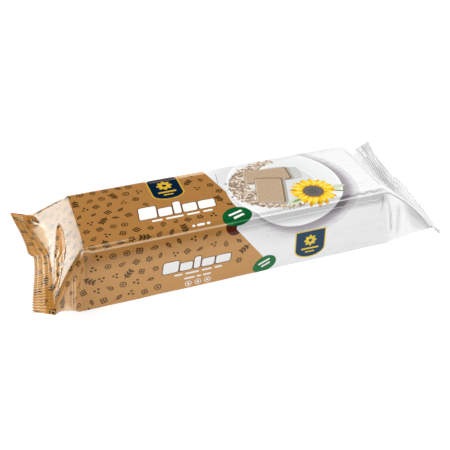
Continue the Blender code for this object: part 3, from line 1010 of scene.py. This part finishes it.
def print_shapes():
    """Everything printed on the grounds, in the order in which it is laid on."""
    crimp = np.array(((-1, -1), (1, -1), (1, 1), (-1, 1))) * (CRIMP_DEPTH / 2, TUBE / 2)
    # Painted light: the left crimp's ground is a brighter copy of the caramel
    yield "caramel_crimp", crimp - (CRIMP_RUN + CRIMP_DEPTH / 2, 0)
    yield "caramel_dart", dart_ground(*DARTS[0])
    yield from motifs()
    yield from picture()
    yield from pressed_cells()
    # The top
    yield "fine_print", box((-0.4, 12.4), (0.3, 9.0), -12, 0.1)
    yield from tab_label((-24.2, 12.9), (14.6, 18.2))
    yield from tiles(-41.2, -8.0, (7.6, 6.0, 3.2, 6.2, 7.4), (8.7, 6.0, 8.9, 6.0, 6.0), 0.75, 0.45)
    yield from dashes(-36.6, -10.2, (4.6, 7.6, 5.6, 4.2), 1.5, 1.2)
    yield from dashes(-21.8, -18.9, (1.2, 3.4, 1.6), 0.8, 1.3)
    yield from leaf_badge((-2.0, -17.7), (13.6, 11.4), 18)
    # The long sides, front and back
    rings = (("letter_white", 1.5, 20), ("caramel", 1.2, 18), ("letter_white", 0.6, 12))
    for side, base in ((-1, -41.0), (1, 35.0)):
        yield from tiles(-36.2, base, (6.8, 5.4, 2.8, 5.6, 6.6), (5.9, 4.2, 6.0, 4.2, 4.2), 0.7, 0.4)
        yield from dashes(-31.0, side * 42.9, (3.6, 6.0, 4.6, 3.4), 1.2, 0.9)
        yield from dashes(-26.9, side * 45.6, (4.8, 2.0, 3.6), 0.8, 0.9)
        for run in (-25.1, -20.8, -16.5):
            for ink, radius, count in rings:
                yield ink, ellipse((run, side * 48.7), (radius, radius), 0, count)
        yield from leaf_badge((9.8, side * 47.2), (11.6, 8.0), 24)
        yield from tab_label((31.6, side * 41.3), (14.8, 15.2))


# The mesh of the film


def spread(breaks, step, offsets):
    """Positions between breaks: close beside each break, and evenly between."""
    found = []
    for low, high in zip(breaks, breaks[1:]):
        near = [offset for offset in offsets if offset < (high - low) / 2 - 0.1]
        inner = [low] + [low + offset for offset in near]
        outer = [high - offset for offset in reversed(near)]
        count = max(1, math.ceil(((outer[0] if outer else high) - inner[-1]) / step))
        middle = list(np.linspace(inner[-1], outer[0] if outer else high, count + 1)[1:-1])
        found += inner + middle + outer
    return found + [breaks[-1]]


def both_hands(way):
    """Girths of a row from the distances of its points from the top's middle."""
    return np.array([-w for w in reversed(way[1:])] + list(way))


class FlatFilm:
    """Points and fixed edges of the flat film, before it is cut into triangles."""

    def __init__(self):
        self.points, self.fixed, self.edges = [], [], []

    def add(self, points, fixed):
        first = len(self.points)
        self.points += [tuple(point) for point in points]
        self.fixed += [fixed] * len(points)
        return list(range(first, len(self.points)))

    def chain(self, indices, closed=False):
        pairs = zip(indices, indices[1:] + indices[:1]) if closed else zip(indices, indices[1:])
        self.edges += list(pairs)


def lay_rows(film):
    """Rows of points over the whole film, aligned with its folds."""
    along = spread((0.0, 1.0), BODY_STEP / TOP_END, (0.012, 0.028))
    low, high = EDGE_REACH
    tight = spread((low, WIDTH / 2, high), EDGE_STEP, ())
    body = spread((0.0, low), BODY_STEP, ())[:-1] + tight
    body += spread((high, WIDTH / 2 + HEIGHT), BODY_STEP, BESIDE_FOLD)[1:]
    body += spread((WIDTH / 2 + HEIGHT, TUBE / 2), BASE_STEP, BESIDE_FOLD)[1:]
    # The picture on the right half asks for rows as close as an end's
    for end, girth in ((-1, both_hands(body)), (1, end_row(1.0)[0])):
        for place in along[0 if end > 0 else 1 :]:
            row = film.add(np.stack((end * fold_run(girth) * place, girth), 1), place == 1.0)
            if place == 1.0:
                film.chain(row)
        lay_end(film, end)
        lay_crimp(film, end)
    lay_creases(film)


def end_row(share):
    """Girths of a row over an end, and how far from the top's middle it meets the ears' folds."""
    half_gap = max(HEIGHT / 2 * (1 - share), CRIMP_TIP)
    ways = HALF_CRIMP - half_gap, HALF_CRIMP + half_gap
    offsets = BESIDE_FOLD if half_gap > 2.5 else BESIDE_FOLD[:1]
    return both_hands(spread((0.0, *ways, TUBE / 2), END_STEP, offsets)), ways


def lay_end(film, end):
    """Rows of points over an end's panels and ears, and the lines of the ears' folds."""
    folds = {(hand, k): [] for hand in (-1, 1) for k in (0, 1)}
    for share in spread((0.0, 1.0), END_STEP / END_LENGTH, (0.012, 0.03))[1:]:
        girth, ways = end_row(share)
        run = end * lerp(fold_run(girth), CRIMP_RUN, share)
        film.add(np.stack((run, girth), 1), share == 1.0)
        for (hand, k), fold in folds.items():
            place = end * lerp(fold_run(ways[k]), CRIMP_RUN, share), hand * ways[k]
            fold += film.add([place], True)
    for fold in folds.values():
        film.chain(fold)


def crease_line(start, end, step):
    """Shares and places along a line with points a step apart, and the vector to its left."""
    share = np.linspace(0.0, 1.0, math.ceil(math.dist(start, end) / step) + 1)[:, None]
    return share, lerp(np.array(start), np.array(end), share), leftwards(start, end)


def lay_creases(film):
    """Rows of points along the creases and darts, on their lines and at both sides."""
    for start, end, bow, swing, height, half_width, _ in CREASES:
        if not height:
            continue
        step = CREASE_STEP if swing or math.dist(start, end) < 50 else BODY_STEP
        share, line, normal = crease_line(start, end, step)
        line = line + normal * (4 * bow * share * (1 - share) + swing * scallop(line[:, :1]))
        for aside in (-1.0, -0.5, 0.0, 0.5, 1.0):
            film.add(line + normal * aside * half_width, True)
    for start, end, half_width in DARTS:
        share, line, normal = crease_line(start, end, CREASE_STEP)
        for aside in (-1.0, 0.0, 1.0):
            film.chain(film.add(line + aside * half_width * spindle(share) * normal, True))


def lay_crimp(film, end):
    """Rows of points over a crimp, several to each rib."""
    count = RIBS * COLUMNS_A_RIB // 2
    way = [HALF_CRIMP * k / count for k in range(count + 1)]
    way = way[:-1] + [HALF_CRIMP - 0.12, HALF_CRIMP]
    way += [TUBE / 2 - w for w in reversed(way[:-1])]
    girth = both_hands(way)
    for depth in CRIMP_ROWS:
        row = np.stack((np.full(len(girth), end * (CRIMP_RUN + depth)), girth), 1)
        film.add(row, depth in (0.0, CRIMP_DEPTH))


def lay_print(film, shapes):
    """Adds the outlines of the print and the line between the grounds."""
    girth = np.arange(-TUBE / 2, TUBE / 2, PRINT_STEP)
    girth = np.unique(np.concatenate((girth, np.array(GROUND_LINE)[:, 0])))
    girth[0], girth[-1] = -TUBE / 2, TUBE / 2
    film.chain(film.add(np.stack((ground_edge(girth), girth), 1), True))
    for _, outline in shapes:
        film.chain(film.add(outline, True), closed=True)


def cleared(film):
    """The film's points without the free ones that crowd a fixed one, and its edges."""
    fixed = [k for k, kept in enumerate(film.fixed) if kept]
    tree = kdtree.KDTree(len(fixed))
    for place, k in enumerate(fixed):
        tree.insert((*film.points[k], 0.0), place)
    tree.balance()
    kept, renumbered = [], {}
    for k, point in enumerate(film.points):
        room = CRIMP_CLEARANCE if abs(point[0]) > CRIMP_RUN - 0.2 else CLEARANCE
        seam = abs(abs(point[1]) - TUBE / 2) < 1e-6
        if film.fixed[k] or seam or tree.find((*point, 0.0))[2] > room:
            renumbered[k] = len(kept)
            kept.append(Vector(point))
    return kept, [(renumbered[a], renumbered[b]) for a, b in film.edges]


def inside(points, outline):
    """Which points lie inside a closed outline."""
    x, y = points.T
    found = np.zeros(len(points), bool)
    for (ax, ay), (bx, by) in zip(outline, np.roll(outline, -1, axis=0)):
        if ay == by:
            continue
        crosses = (ay > y) != (by > y)
        found ^= crosses & (x < (bx - ax) * (y - ay) / (by - ay) + ax)
    return found


def inks_of(middles, shapes):
    """The topmost ink at each triangle's middle."""
    found = np.where(middles[:, 0] < ground_edge(middles[:, 1]), "caramel", "table").astype("U16")
    order = np.argsort(middles[:, 0])
    runs = middles[order, 0]
    for ink, outline in shapes:
        low, high = outline.min(0), outline.max(0)
        near = order[np.searchsorted(runs, low[0]) : np.searchsorted(runs, high[0])]
        near = near[(middles[near, 1] > low[1]) & (middles[near, 1] < high[1])]
        found[near[inside(middles[near], outline)]] = ink
    return found


def weld(flat):
    """Joins the two sides of the fin seam: the number of the vertex that each one becomes."""
    number = np.arange(len(flat))
    left = np.flatnonzero(np.abs(flat[:, 1] + TUBE / 2) < ON_LINE)
    right = np.flatnonzero(np.abs(flat[:, 1] - TUBE / 2) < ON_LINE)
    left, right = left[np.argsort(flat[left, 0])], right[np.argsort(flat[right, 0])]
    number[right] = left
    return number


def cut_edges(flat, number):
    """Faces that close each cut edge between the crimp's two layers."""
    faces = []
    for end in (-1, 1):
        edge = np.flatnonzero(np.abs(flat[:, 0] - end * CUT_RUN) < ON_LINE)
        edge = edge[np.argsort(flat[edge, 1])]
        girth = flat[edge, 1]
        above = edge[np.abs(girth) <= HALF_CRIMP + ON_LINE]
        front = edge[girth < -HALF_CRIMP + ON_LINE][::-1]
        back = edge[girth > HALF_CRIMP - ON_LINE][::-1]
        below = np.concatenate((front, back[1:]))
        for k in range(len(above) - 1):
            corners = number[[above[k], above[k + 1], below[k + 1], below[k]]]
            corners = list(dict.fromkeys(corners.tolist()))
            faces.append(corners[::-1] if end > 0 else corners)
    return faces


def film_mesh(shapes):
    """The film's mesh, the ink of each face, and the flat place of each face corner."""
    film = FlatFilm()
    lay_rows(film)
    lay_print(film, shapes)
    points, edges = cleared(film)
    flat, _, faces, *_ = delaunay_2d_cdt(points, edges, [], 0, 1e-5, False)
    flat, faces = np.array([tuple(v) for v in flat]), np.array(faces)
    inks = inks_of(flat[faces].mean(1), shapes)
    places, normals = film_points(flat[:, 0], flat[:, 1])
    number = weld(flat)
    ends = cut_edges(flat, number)
    mesh = bpy.data.meshes.new("film_pack")
    mesh.from_pydata((places * MM).tolist(), [], number[faces].tolist() + ends)
    return mesh, flat, faces, inks, normals


def at_corners(mesh, values):
    """Values at the corners of the film's faces, and zeros at those of the cut edges."""
    found = np.zeros((len(mesh.loops), values.shape[-1]), np.float32)
    found[: 3 * len(values)] = values.reshape(-1, values.shape[-1])
    return found


def finish_mesh(mesh, flat, faces, normals):
    """Normals from the film's own form, the flat film as texture coordinates, and painted shade and
    highlight.
    """
    for name, values in zip(("dark", "pale"), tones(flat[:, 0], flat[:, 1])):
        layer = mesh.attributes.new(name, "FLOAT", "POINT")
        layer.data.foreach_set("value", values.astype(np.float32))
    baked = (flat + (CUT_RUN, TUBE / 2)) / (2 * CUT_RUN)
    for name, values in (("film", flat), ("OFBake", baked)):
        layer = mesh.uv_layers.new(name=name)
        layer.uv.foreach_set("vector", at_corners(mesh, values[faces]).ravel())
    mesh.shade_smooth()
    mesh.normals_split_custom_set(at_corners(mesh, normals[faces]).tolist())


# Materials


def add_node(tree, kind, inputs=(), **settings):
    """Adds a shader node with its settings, and fills its inputs with values or links."""
    node = tree.nodes.new("ShaderNode" + kind)
    for name, value in settings.items():
        setattr(node, name, value)
    for name, value in dict(inputs).items():
        if isinstance(value, bpy.types.NodeSocket):
            tree.links.new(value, node.inputs[name])
        else:
            node.inputs[name].default_value = value
    return node


# Polypropylene has 1.49: the lower value keeps the dark inks as clear as they are
FILM_IOR = 1.35
FILM_ROUGHNESS = 0.16
RIPPLE_SIZE = 4.0
RIPPLE_HEIGHT = 0.25
RIPPLE_STRENGTH = 0.25
# Limits of the coat's clouds, and the distances from the top's middle where the long
# sides' colour, a painted light copy of the ink, starts and is full
CLOUDS = (0.35, 0.65)
SIDE_WAYS = (23.5, 33.0)


def printed_film(
    name, ink=None, side=None, rings=None, mottle=0.05, size=2.2, stretch=1.0, fold=0.68, highlight_colour="F1D5AE"
):
    """Clear biaxially drawn polypropylene film, printed on its inner side and glossy.

    The gloss comes from the clear film, so it is the same over every ink. Painted shade
    darkens the ink in folds, towards fold times its colour, and painted highlight mixes a light
    colour into it on sharp crests. The long sides take side, a copy of the ink as painted light.
    Its coat is a little uneven: mottle is how much, and size and stretch give its clouds in mm.
    """
    material = bpy.data.materials.new(name)
    material.use_nodes = True
    tree = material.node_tree
    place = add_node(tree, "UVMap", uv_map="film").outputs[0]
    if rings:
        # Tones by the distance from a centre, as a share of an ellipse's radii
        (run, girth), radii, stops = rings
        moved = add_node(tree, "VectorMath", {0: place, 1: (-run, -girth, 0)}, operation="ADD")
        inputs = {0: moved.outputs[0], 1: (1 / radii[0], 1 / radii[1], 0)}
        scaled = add_node(tree, "VectorMath", inputs, operation="MULTIPLY")
        away = add_node(tree, "VectorMath", {0: scaled.outputs[0]}, operation="LENGTH")
        value = away.outputs["Value"]
    elif side:
        # Painted light: the long sides, which stand in another light than the top, take another copy of the
        # ink
        girth = add_node(tree, "SeparateXYZ", {0: place}).outputs[1]
        way = add_node(tree, "Math", {0: girth}, operation="ABSOLUTE").outputs[0]
        value = add_node(tree, "MapRange", {0: way, 1: SIDE_WAYS[0], 2: SIDE_WAYS[1]}).outputs[0]
        stops = (0, ink), (1, side)
    if rings or side:
        row = add_node(tree, "ValToRGB", {0: value})
        while len(row.color_ramp.elements) < len(stops):
            row.color_ramp.elements.new(1.0)
        for point, (share, code) in zip(row.color_ramp.elements, stops):
            point.position = share
            point.color = (*ink_colour(code), 1.0)
        colour = row.outputs[0]
    else:
        colour = (*ink_colour(ink), 1.0)
    inputs = {0: place, 1: (1 / stretch, 1, 1)}
    drawn = add_node(tree, "VectorMath", inputs, operation="MULTIPLY")
    inputs = {"Vector": drawn.outputs[0], "Scale": 1 / size, "Detail": 3, "Roughness": 0.6}
    cloud = add_node(tree, "TexNoise", inputs).outputs[0]
    patchy = add_node(tree, "MapRange", {0: cloud, 1: CLOUDS[0], 2: CLOUDS[1]}).outputs[0]
    # The mesh's painted shade and painted highlight
    dark, pale = (
        add_node(tree, "Attribute", attribute_name=name).outputs["Fac"] for name in ("dark", "pale")
    )
    # Coat clouds, then painted shade, then painted highlight over the colour
    uneven, folded = ((factor, factor, factor, 1) for factor in (1 - 2 * mottle, fold))
    layers = (patchy, uneven, "MULTIPLY"), (dark, folded, "MULTIPLY"), (pale, (*linear(highlight_colour), 1), "MIX")
    for amount, tint, blend in layers:
        inputs = {0: amount, 6: colour, 7: tint}
        colour = add_node(tree, "Mix", inputs, data_type="RGBA", blend_type=blend).outputs[2]
    inputs = {"Vector": place, "Scale": 1 / RIPPLE_SIZE, "Detail": 2, "Roughness": 0.5}
    ripple = add_node(tree, "TexNoise", inputs).outputs[0]
    inputs = {"Height": ripple, "Strength": RIPPLE_STRENGTH, "Distance": RIPPLE_HEIGHT * MM}
    bump = add_node(tree, "Bump", inputs).outputs[0]
    shader = tree.nodes["Principled BSDF"]
    tree.links.new(colour, shader.inputs["Base Color"])
    tree.links.new(bump, shader.inputs["Normal"])
    shader.inputs["Roughness"].default_value = FILM_ROUGHNESS
    shader.inputs["IOR"].default_value = FILM_IOR
    return material


PLATE_TONES = (
    ((0.0, "DDE0DF"), (0.52, "DADDDC"), (0.565, "E4E6E5"), (0.585, "F4F5F4"), (0.61, "E6E8E7"))
    + ((0.68, "EAECEB"), (0.93, "EEF0EF"), (0.975, "F6F7F6"), (1.0, "E9EBEA"))
)
SHADOW_TONES = ((0.775, "9F969C"), (0.85, "B3ACB1"), (0.895, "CDC9CD"), (0.93, "E2E1E3"), (1.0, "EFEEF0"))
TABLE_SHADE_TONES = ((0.72, "E1E1E2"), (1.0, "F3F3F4"))

# White film: a deeper tint for its painted shade, and near white for its painted highlight
WHITE_FILM = dict(fold=0.45, highlight_colour="FBFBFB")
# An ink without a code of its own has the scene's colour of its name
INKS = {
    # Side colours are painted light: copies of the inks for the long sides
    "caramel": dict(side="caramel_side", mottle=0.02, size=6.0),
    # Painted light: a brighter copy of the caramel for the left crimp
    "caramel_crimp": dict(mottle=0.02, size=6.0),
    # Painted light: a lighter, warmer copy of the caramel inside the long dart
    "caramel_dart": dict(ink="CA9150", mottle=0.03, size=4.0),
    "table": dict(WHITE_FILM, side="F2F2F3", mottle=0.025, size=1.4, stretch=9.0),
    "table_shade": dict(WHITE_FILM, rings=(*TABLE_SHADE, TABLE_SHADE_TONES), mottle=0.02, size=1.4),
    # Painted highlight of the pressed cells, and the painted shade of their frame
    "pressed_white": dict(ink="FDFDFD", mottle=0.0, fold=1.0),
    "pressed_grey": dict(ink="D4D4D6", mottle=0.0, fold=0.8),
    "motif": dict(side="5C4224"),
    "motif_dark": dict(ink="6B4320"),
    "letter_white": dict(ink="label_white", side="EFEFED", mottle=0.01),
    "navy": dict(side="103A58"),
    "gold": dict(side="E8CB38"),
    "green": dict(side="127038", highlight_colour="3F9A62"),
    "red_brown": dict(highlight_colour="8A5A46"),
    "fine_print": dict(ink="A3A1A0"),
    "scratch": dict(ink="D9D6D8"),
    "speck": dict(ink="9C7B6A"),
    "shadow": dict(
        rings=(*PLATE_SHADOW, SHADOW_TONES), mottle=0.09, size=1.0, stretch=8.0, fold=0.45, highlight_colour="E4E0E4"
    ),
    "plate": dict(WHITE_FILM, rings=(*PLATE, PLATE_TONES), mottle=0.02, size=1.3),
    "well_shade": dict(ink="C9CAC6", mottle=0.02),
    "plate_shade": dict(ink="B3AEA8"),
    "halva": dict(mottle=0.09, size=0.9),
    "halva_light": dict(ink="D8C4AB", mottle=0.06, size=0.7),
    "halva_side": dict(ink="8E7253", mottle=0.08, size=0.7),
    "seed": dict(ink="CDB69E"),
    "seed_light": dict(ink="EDE2D3"),
    "seed_dark": dict(ink="957D6A"),
    "seed_shade": dict(ink="A5917F", mottle=0.15, size=1.0),
    "petal": dict(size=0.9),
    "petal_light": dict(ink="FFE668", size=0.9),
    "petal_deep": dict(ink="E6A31A", mottle=0.08, size=0.9),
    "disc_edge": dict(ink="8A6B4C"),
    "disc": dict(ink="736F6B", mottle=0.12, size=0.6),
    "disc_heart": dict(ink="696662", mottle=0.15, size=0.6),
    "leaf_green": dict(ink="8BA56C"),
    "leaf_pale": dict(ink="D5DDC4"),
}


def colour_property(name, description, code):
    """A colour that a user can change, with an sRGB hex default."""
    return bpy.props.FloatVectorProperty(
        name=name, description=description, default=linear(code), min=0.0, max=1.0, subtype="COLOR"
    )


class HalvaColours(bpy.types.PropertyGroup):
    """Inks of the print that a user would change."""

    caramel: colour_property("Caramel", "Ground of the left part, on the top", "AB783F")
    # Painted light: the caramel as the long sides show it in their light
    caramel_side: colour_property("Caramel side", "Ground of the left part, on the long sides", "C59359")
    # Painted light: a brighter copy of the caramel for the left crimp
    caramel_crimp: colour_property("Caramel crimp", "Ground of the left crimp", "C48635")
    table: colour_property("Pictured table", "Ground of the right part", "F4F4F5")
    motif: colour_property("Line drawings", "Small line drawings on the caramel ground", "463012")
    label_white: colour_property("Label white", "Tiles and dashes that stand for words", "F6F5F1")
    navy: colour_property("Navy", "Label with a gold rim", "011D36")
    gold: colour_property("Gold", "Rim and signs of the navy label", "D8B02C")
    green: colour_property("Green", "Leaf-shaped badge", "085D2C")
    red_brown: colour_property("Red brown", "Tip behind the leaf-shaped badge", "4E1D10")
    halva: colour_property("Pictured halva", "Top of the pictured slabs", "C4AB8F")
    petal: colour_property("Pictured petals", "Petals of the pictured sunflower", "F9CF27")


def ink_colour(ink):
    """Linear colour of an ink, from the scene's colours or from its sRGB hex code."""
    return tuple(getattr(bpy.context.scene.halva_colours, ink, None) or linear(ink))


def size_property(name, description, size, least, most):
    """A size that a user can change, in mm."""
    return bpy.props.FloatProperty(
        name=name,
        description=description,
        default=size * MM,
        min=least * MM,
        max=most * MM,
        precision=5,
        unit="LENGTH",
    )


class HalvaSizes(bpy.types.PropertyGroup):
    """Sizes of the film that can change without a new solid."""

    crimp_thickness: size_property("Crimp thickness", "Distance between a crimp's two layers", 0.5, 0.1, 0.7)
    rib_height: size_property("Rib height", "Height of the crimps' ribs, from their middle", 0.09, 0.0, 0.32)
    zigzag: size_property("Zigzag", "Height of the cut edges' teeth, from their middle", 0.5, 0.0, 0.5)


class HALVA_OT_film(bpy.types.Operator):
    """Makes the printed film, folded round the bar and crimped at both ends"""

    bl_idname = "halva.film"
    bl_label = "Printed film"

    def execute(self, context):
        shapes = [(ink, resampled(outline)) for ink, outline in print_shapes()]
        for _, outline in shapes:
            outline[:, 0] = np.clip(outline[:, 0], -CUT_RUN + 0.1, CUT_RUN - 0.1)
        mesh, flat, faces, inks, normals = film_mesh(shapes)
        for name, look in INKS.items():
            look = {"ink": name, **look}
            mesh.materials.append(printed_film(f"polypropylene_film_{name}", **look))
        number = {name: k for k, name in enumerate(INKS)}
        found = [number[ink] for ink in inks]
        for face in mesh.polygons[len(faces) :]:
            found.append(number["caramel" if face.center[0] < 0 else "table"])
        mesh.polygons.foreach_set("material_index", found)
        finish_mesh(mesh, flat, faces, normals)
        pack = bpy.data.objects.new("film_pack", mesh)
        context.scene.collection.objects.link(pack)
        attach(pack, "root")
        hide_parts("halva_pack")
        return {"FINISHED"}


FLOOR_HALF = 2.0
FLOOR_DROP = 0.0002
FLOOR_GLOW = 0.78
FLOOR_GREY = 0.4
ROOM_LIGHT = 0.48
ROOM_GLOSS = 0.03

# The camera that fits the photograph
CAMERA_AZIMUTH = -19.72
CAMERA_HEIGHT_ANGLE = 34.74
CAMERA_DISTANCE = 0.3495
CAMERA_ASIDE = (-0.00084, 0.0110)
CAMERA_LENS = 60.84
CAMERA_SENSOR = 36.0

# Softboxes: name, place, target, size, radiance, colour, and whether they light the film
# or are only mirrored in it. The low one makes the gloss of the left end panel.
WHITE = (1.0, 1.0, 1.0)
SOFTBOXES = (
    ("top_softbox", (-0.35, 0.1, 0.85), (0, 0, 0), (0.9, 0.7), 1.6, WHITE, True),
    ("left_softbox", (-0.5, -0.15, 0.6), (0, 0, 0.02), (0.4, 0.4), 3.8, WHITE, True),
    ("right_softbox", (0.6, 0.0, 0.3), (0, 0, 0.02), (0.4, 0.4), 3.9, WHITE, True),
    ("low_softbox", (-0.215, 0.2, 0.09), (-0.075, 0, 0.09), (0.21, 0.178), 7.2, (0.98, 1.0, 0.94), False),
)


def softbox(name, place, target, size, radiance, colour, lights):
    """A rectangular softbox at a place, turned to a target."""
    light = bpy.data.lights.new(name, "AREA")
    light.shape = "RECTANGLE"
    light.size, light.size_y = size
    light.energy = radiance * math.pi * size[0] * size[1]
    light.color = colour
    lamp = bpy.data.objects.new(name, light)
    lamp.location = place
    lamp.rotation_euler = (Vector(target) - Vector(place)).to_track_quat("-Z", "Y").to_euler()
    lamp.visible_diffuse = lights
    lamp.visible_glossy = not lights
    lamp.visible_camera = False
    bpy.context.scene.collection.objects.link(lamp)


def floor_sheet(context):
    """The floor: an opal acrylic sheet, lit from below, matt so that nothing is mirrored in it."""
    corners = [(x * FLOOR_HALF, y * FLOOR_HALF, 0) for x, y in ((-1, -1), (1, -1), (1, 1), (-1, 1))]
    mesh = bpy.data.meshes.new("floor")
    mesh.from_pydata(corners, [], [(0, 1, 2, 3)])
    floor = bpy.data.objects.new("floor", mesh)
    floor.location.z = -FLOOR_DROP
    sheet = bpy.data.materials.new("backlit_opal_acrylic_sheet")
    sheet.use_nodes = True
    shader = sheet.node_tree.nodes["Principled BSDF"]
    shader.inputs["Base Color"].default_value = (FLOOR_GREY, FLOOR_GREY, FLOOR_GREY, 1)
    shader.inputs["Roughness"].default_value = 0.9
    shader.inputs["Specular IOR Level"].default_value = 0.0
    shader.inputs["Emission Color"].default_value = (*WHITE, 1)
    shader.inputs["Emission Strength"].default_value = FLOOR_GLOW
    mesh.materials.append(sheet)
    context.scene.collection.objects.link(floor)
    floor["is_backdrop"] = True


def camera_at_photo(context):
    """The camera, turned towards the pack as in the photograph."""
    turn = Euler((math.radians(90 - CAMERA_HEIGHT_ANGLE), 0, math.radians(CAMERA_AZIMUTH)))
    camera = bpy.data.objects.new("camera", bpy.data.cameras.new("camera"))
    camera.data.lens = CAMERA_LENS
    camera.data.sensor_width = CAMERA_SENSOR
    camera.data.clip_start = 0.01
    camera.rotation_euler = turn
    camera.location = turn.to_matrix() @ Vector((*CAMERA_ASIDE, CAMERA_DISTANCE))
    context.scene.collection.objects.link(camera)
    context.scene.camera = camera


class HALVA_OT_studio(bpy.types.Operator):
    """Makes the backlit white floor, the softboxes and the camera"""

    bl_idname = "halva.studio"
    bl_label = "Studio"

    def execute(self, context):
        floor_sheet(context)
        world = bpy.data.worlds.new("studio")
        world.use_nodes = True
        tree = world.node_tree
        # The room lights the film evenly and is hardly mirrored in it
        glossy = add_node(tree, "LightPath").outputs["Is Glossy Ray"]
        room = add_node(tree, "Mix", {0: glossy, 2: ROOM_LIGHT, 3: ROOM_GLOSS})
        tree.links.new(room.outputs[0], tree.nodes["Background"].inputs["Strength"])
        tree.nodes["Background"].inputs["Color"].default_value = (*WHITE, 1)
        context.scene.world = world
        context.scene.view_settings.view_transform = "Standard"
        for settings in SOFTBOXES:
            softbox(*settings)
        camera_at_photo(context)
        return {"FINISHED"}


class HALVA_PT_pack(bpy.types.Panel):
    """The pieces of the pack and its studio"""

    bl_idname = "HALVA_PT_pack"
    bl_label = "Halva pack"
    bl_space_type = "VIEW_3D"
    bl_region_type = "UI"
    bl_category = "Halva"

    def draw(self, context):
        for group in (context.scene.halva_sizes, context.scene.halva_colours):
            for name in group.__annotations__:
                self.layout.prop(group, name)
        self.layout.operator(HALVA_OT_film.bl_idname)
        self.layout.operator(HALVA_OT_studio.bl_idname)


CLASSES = (HalvaSizes, HalvaColours, HALVA_OT_film, HALVA_OT_studio, HALVA_PT_pack)


def register():
    for kind in CLASSES:
        bpy.utils.register_class(kind)
    bpy.types.Scene.halva_sizes = bpy.props.PointerProperty(type=HalvaSizes)
    bpy.types.Scene.halva_colours = bpy.props.PointerProperty(type=HalvaColours)


def unregister():
    del bpy.types.Scene.halva_colours
    del bpy.types.Scene.halva_sizes
    for kind in reversed(CLASSES):
        bpy.utils.unregister_class(kind)


def main():
    register()
    bpy.ops.halva.studio()
    bpy.ops.halva.film()
    boxes = {"cad": CAD_BOX, "visual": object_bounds()}
    {name: [list(corner) for corner in box] for name, box in boxes.items()}


if __name__ == "__main__":
    main()
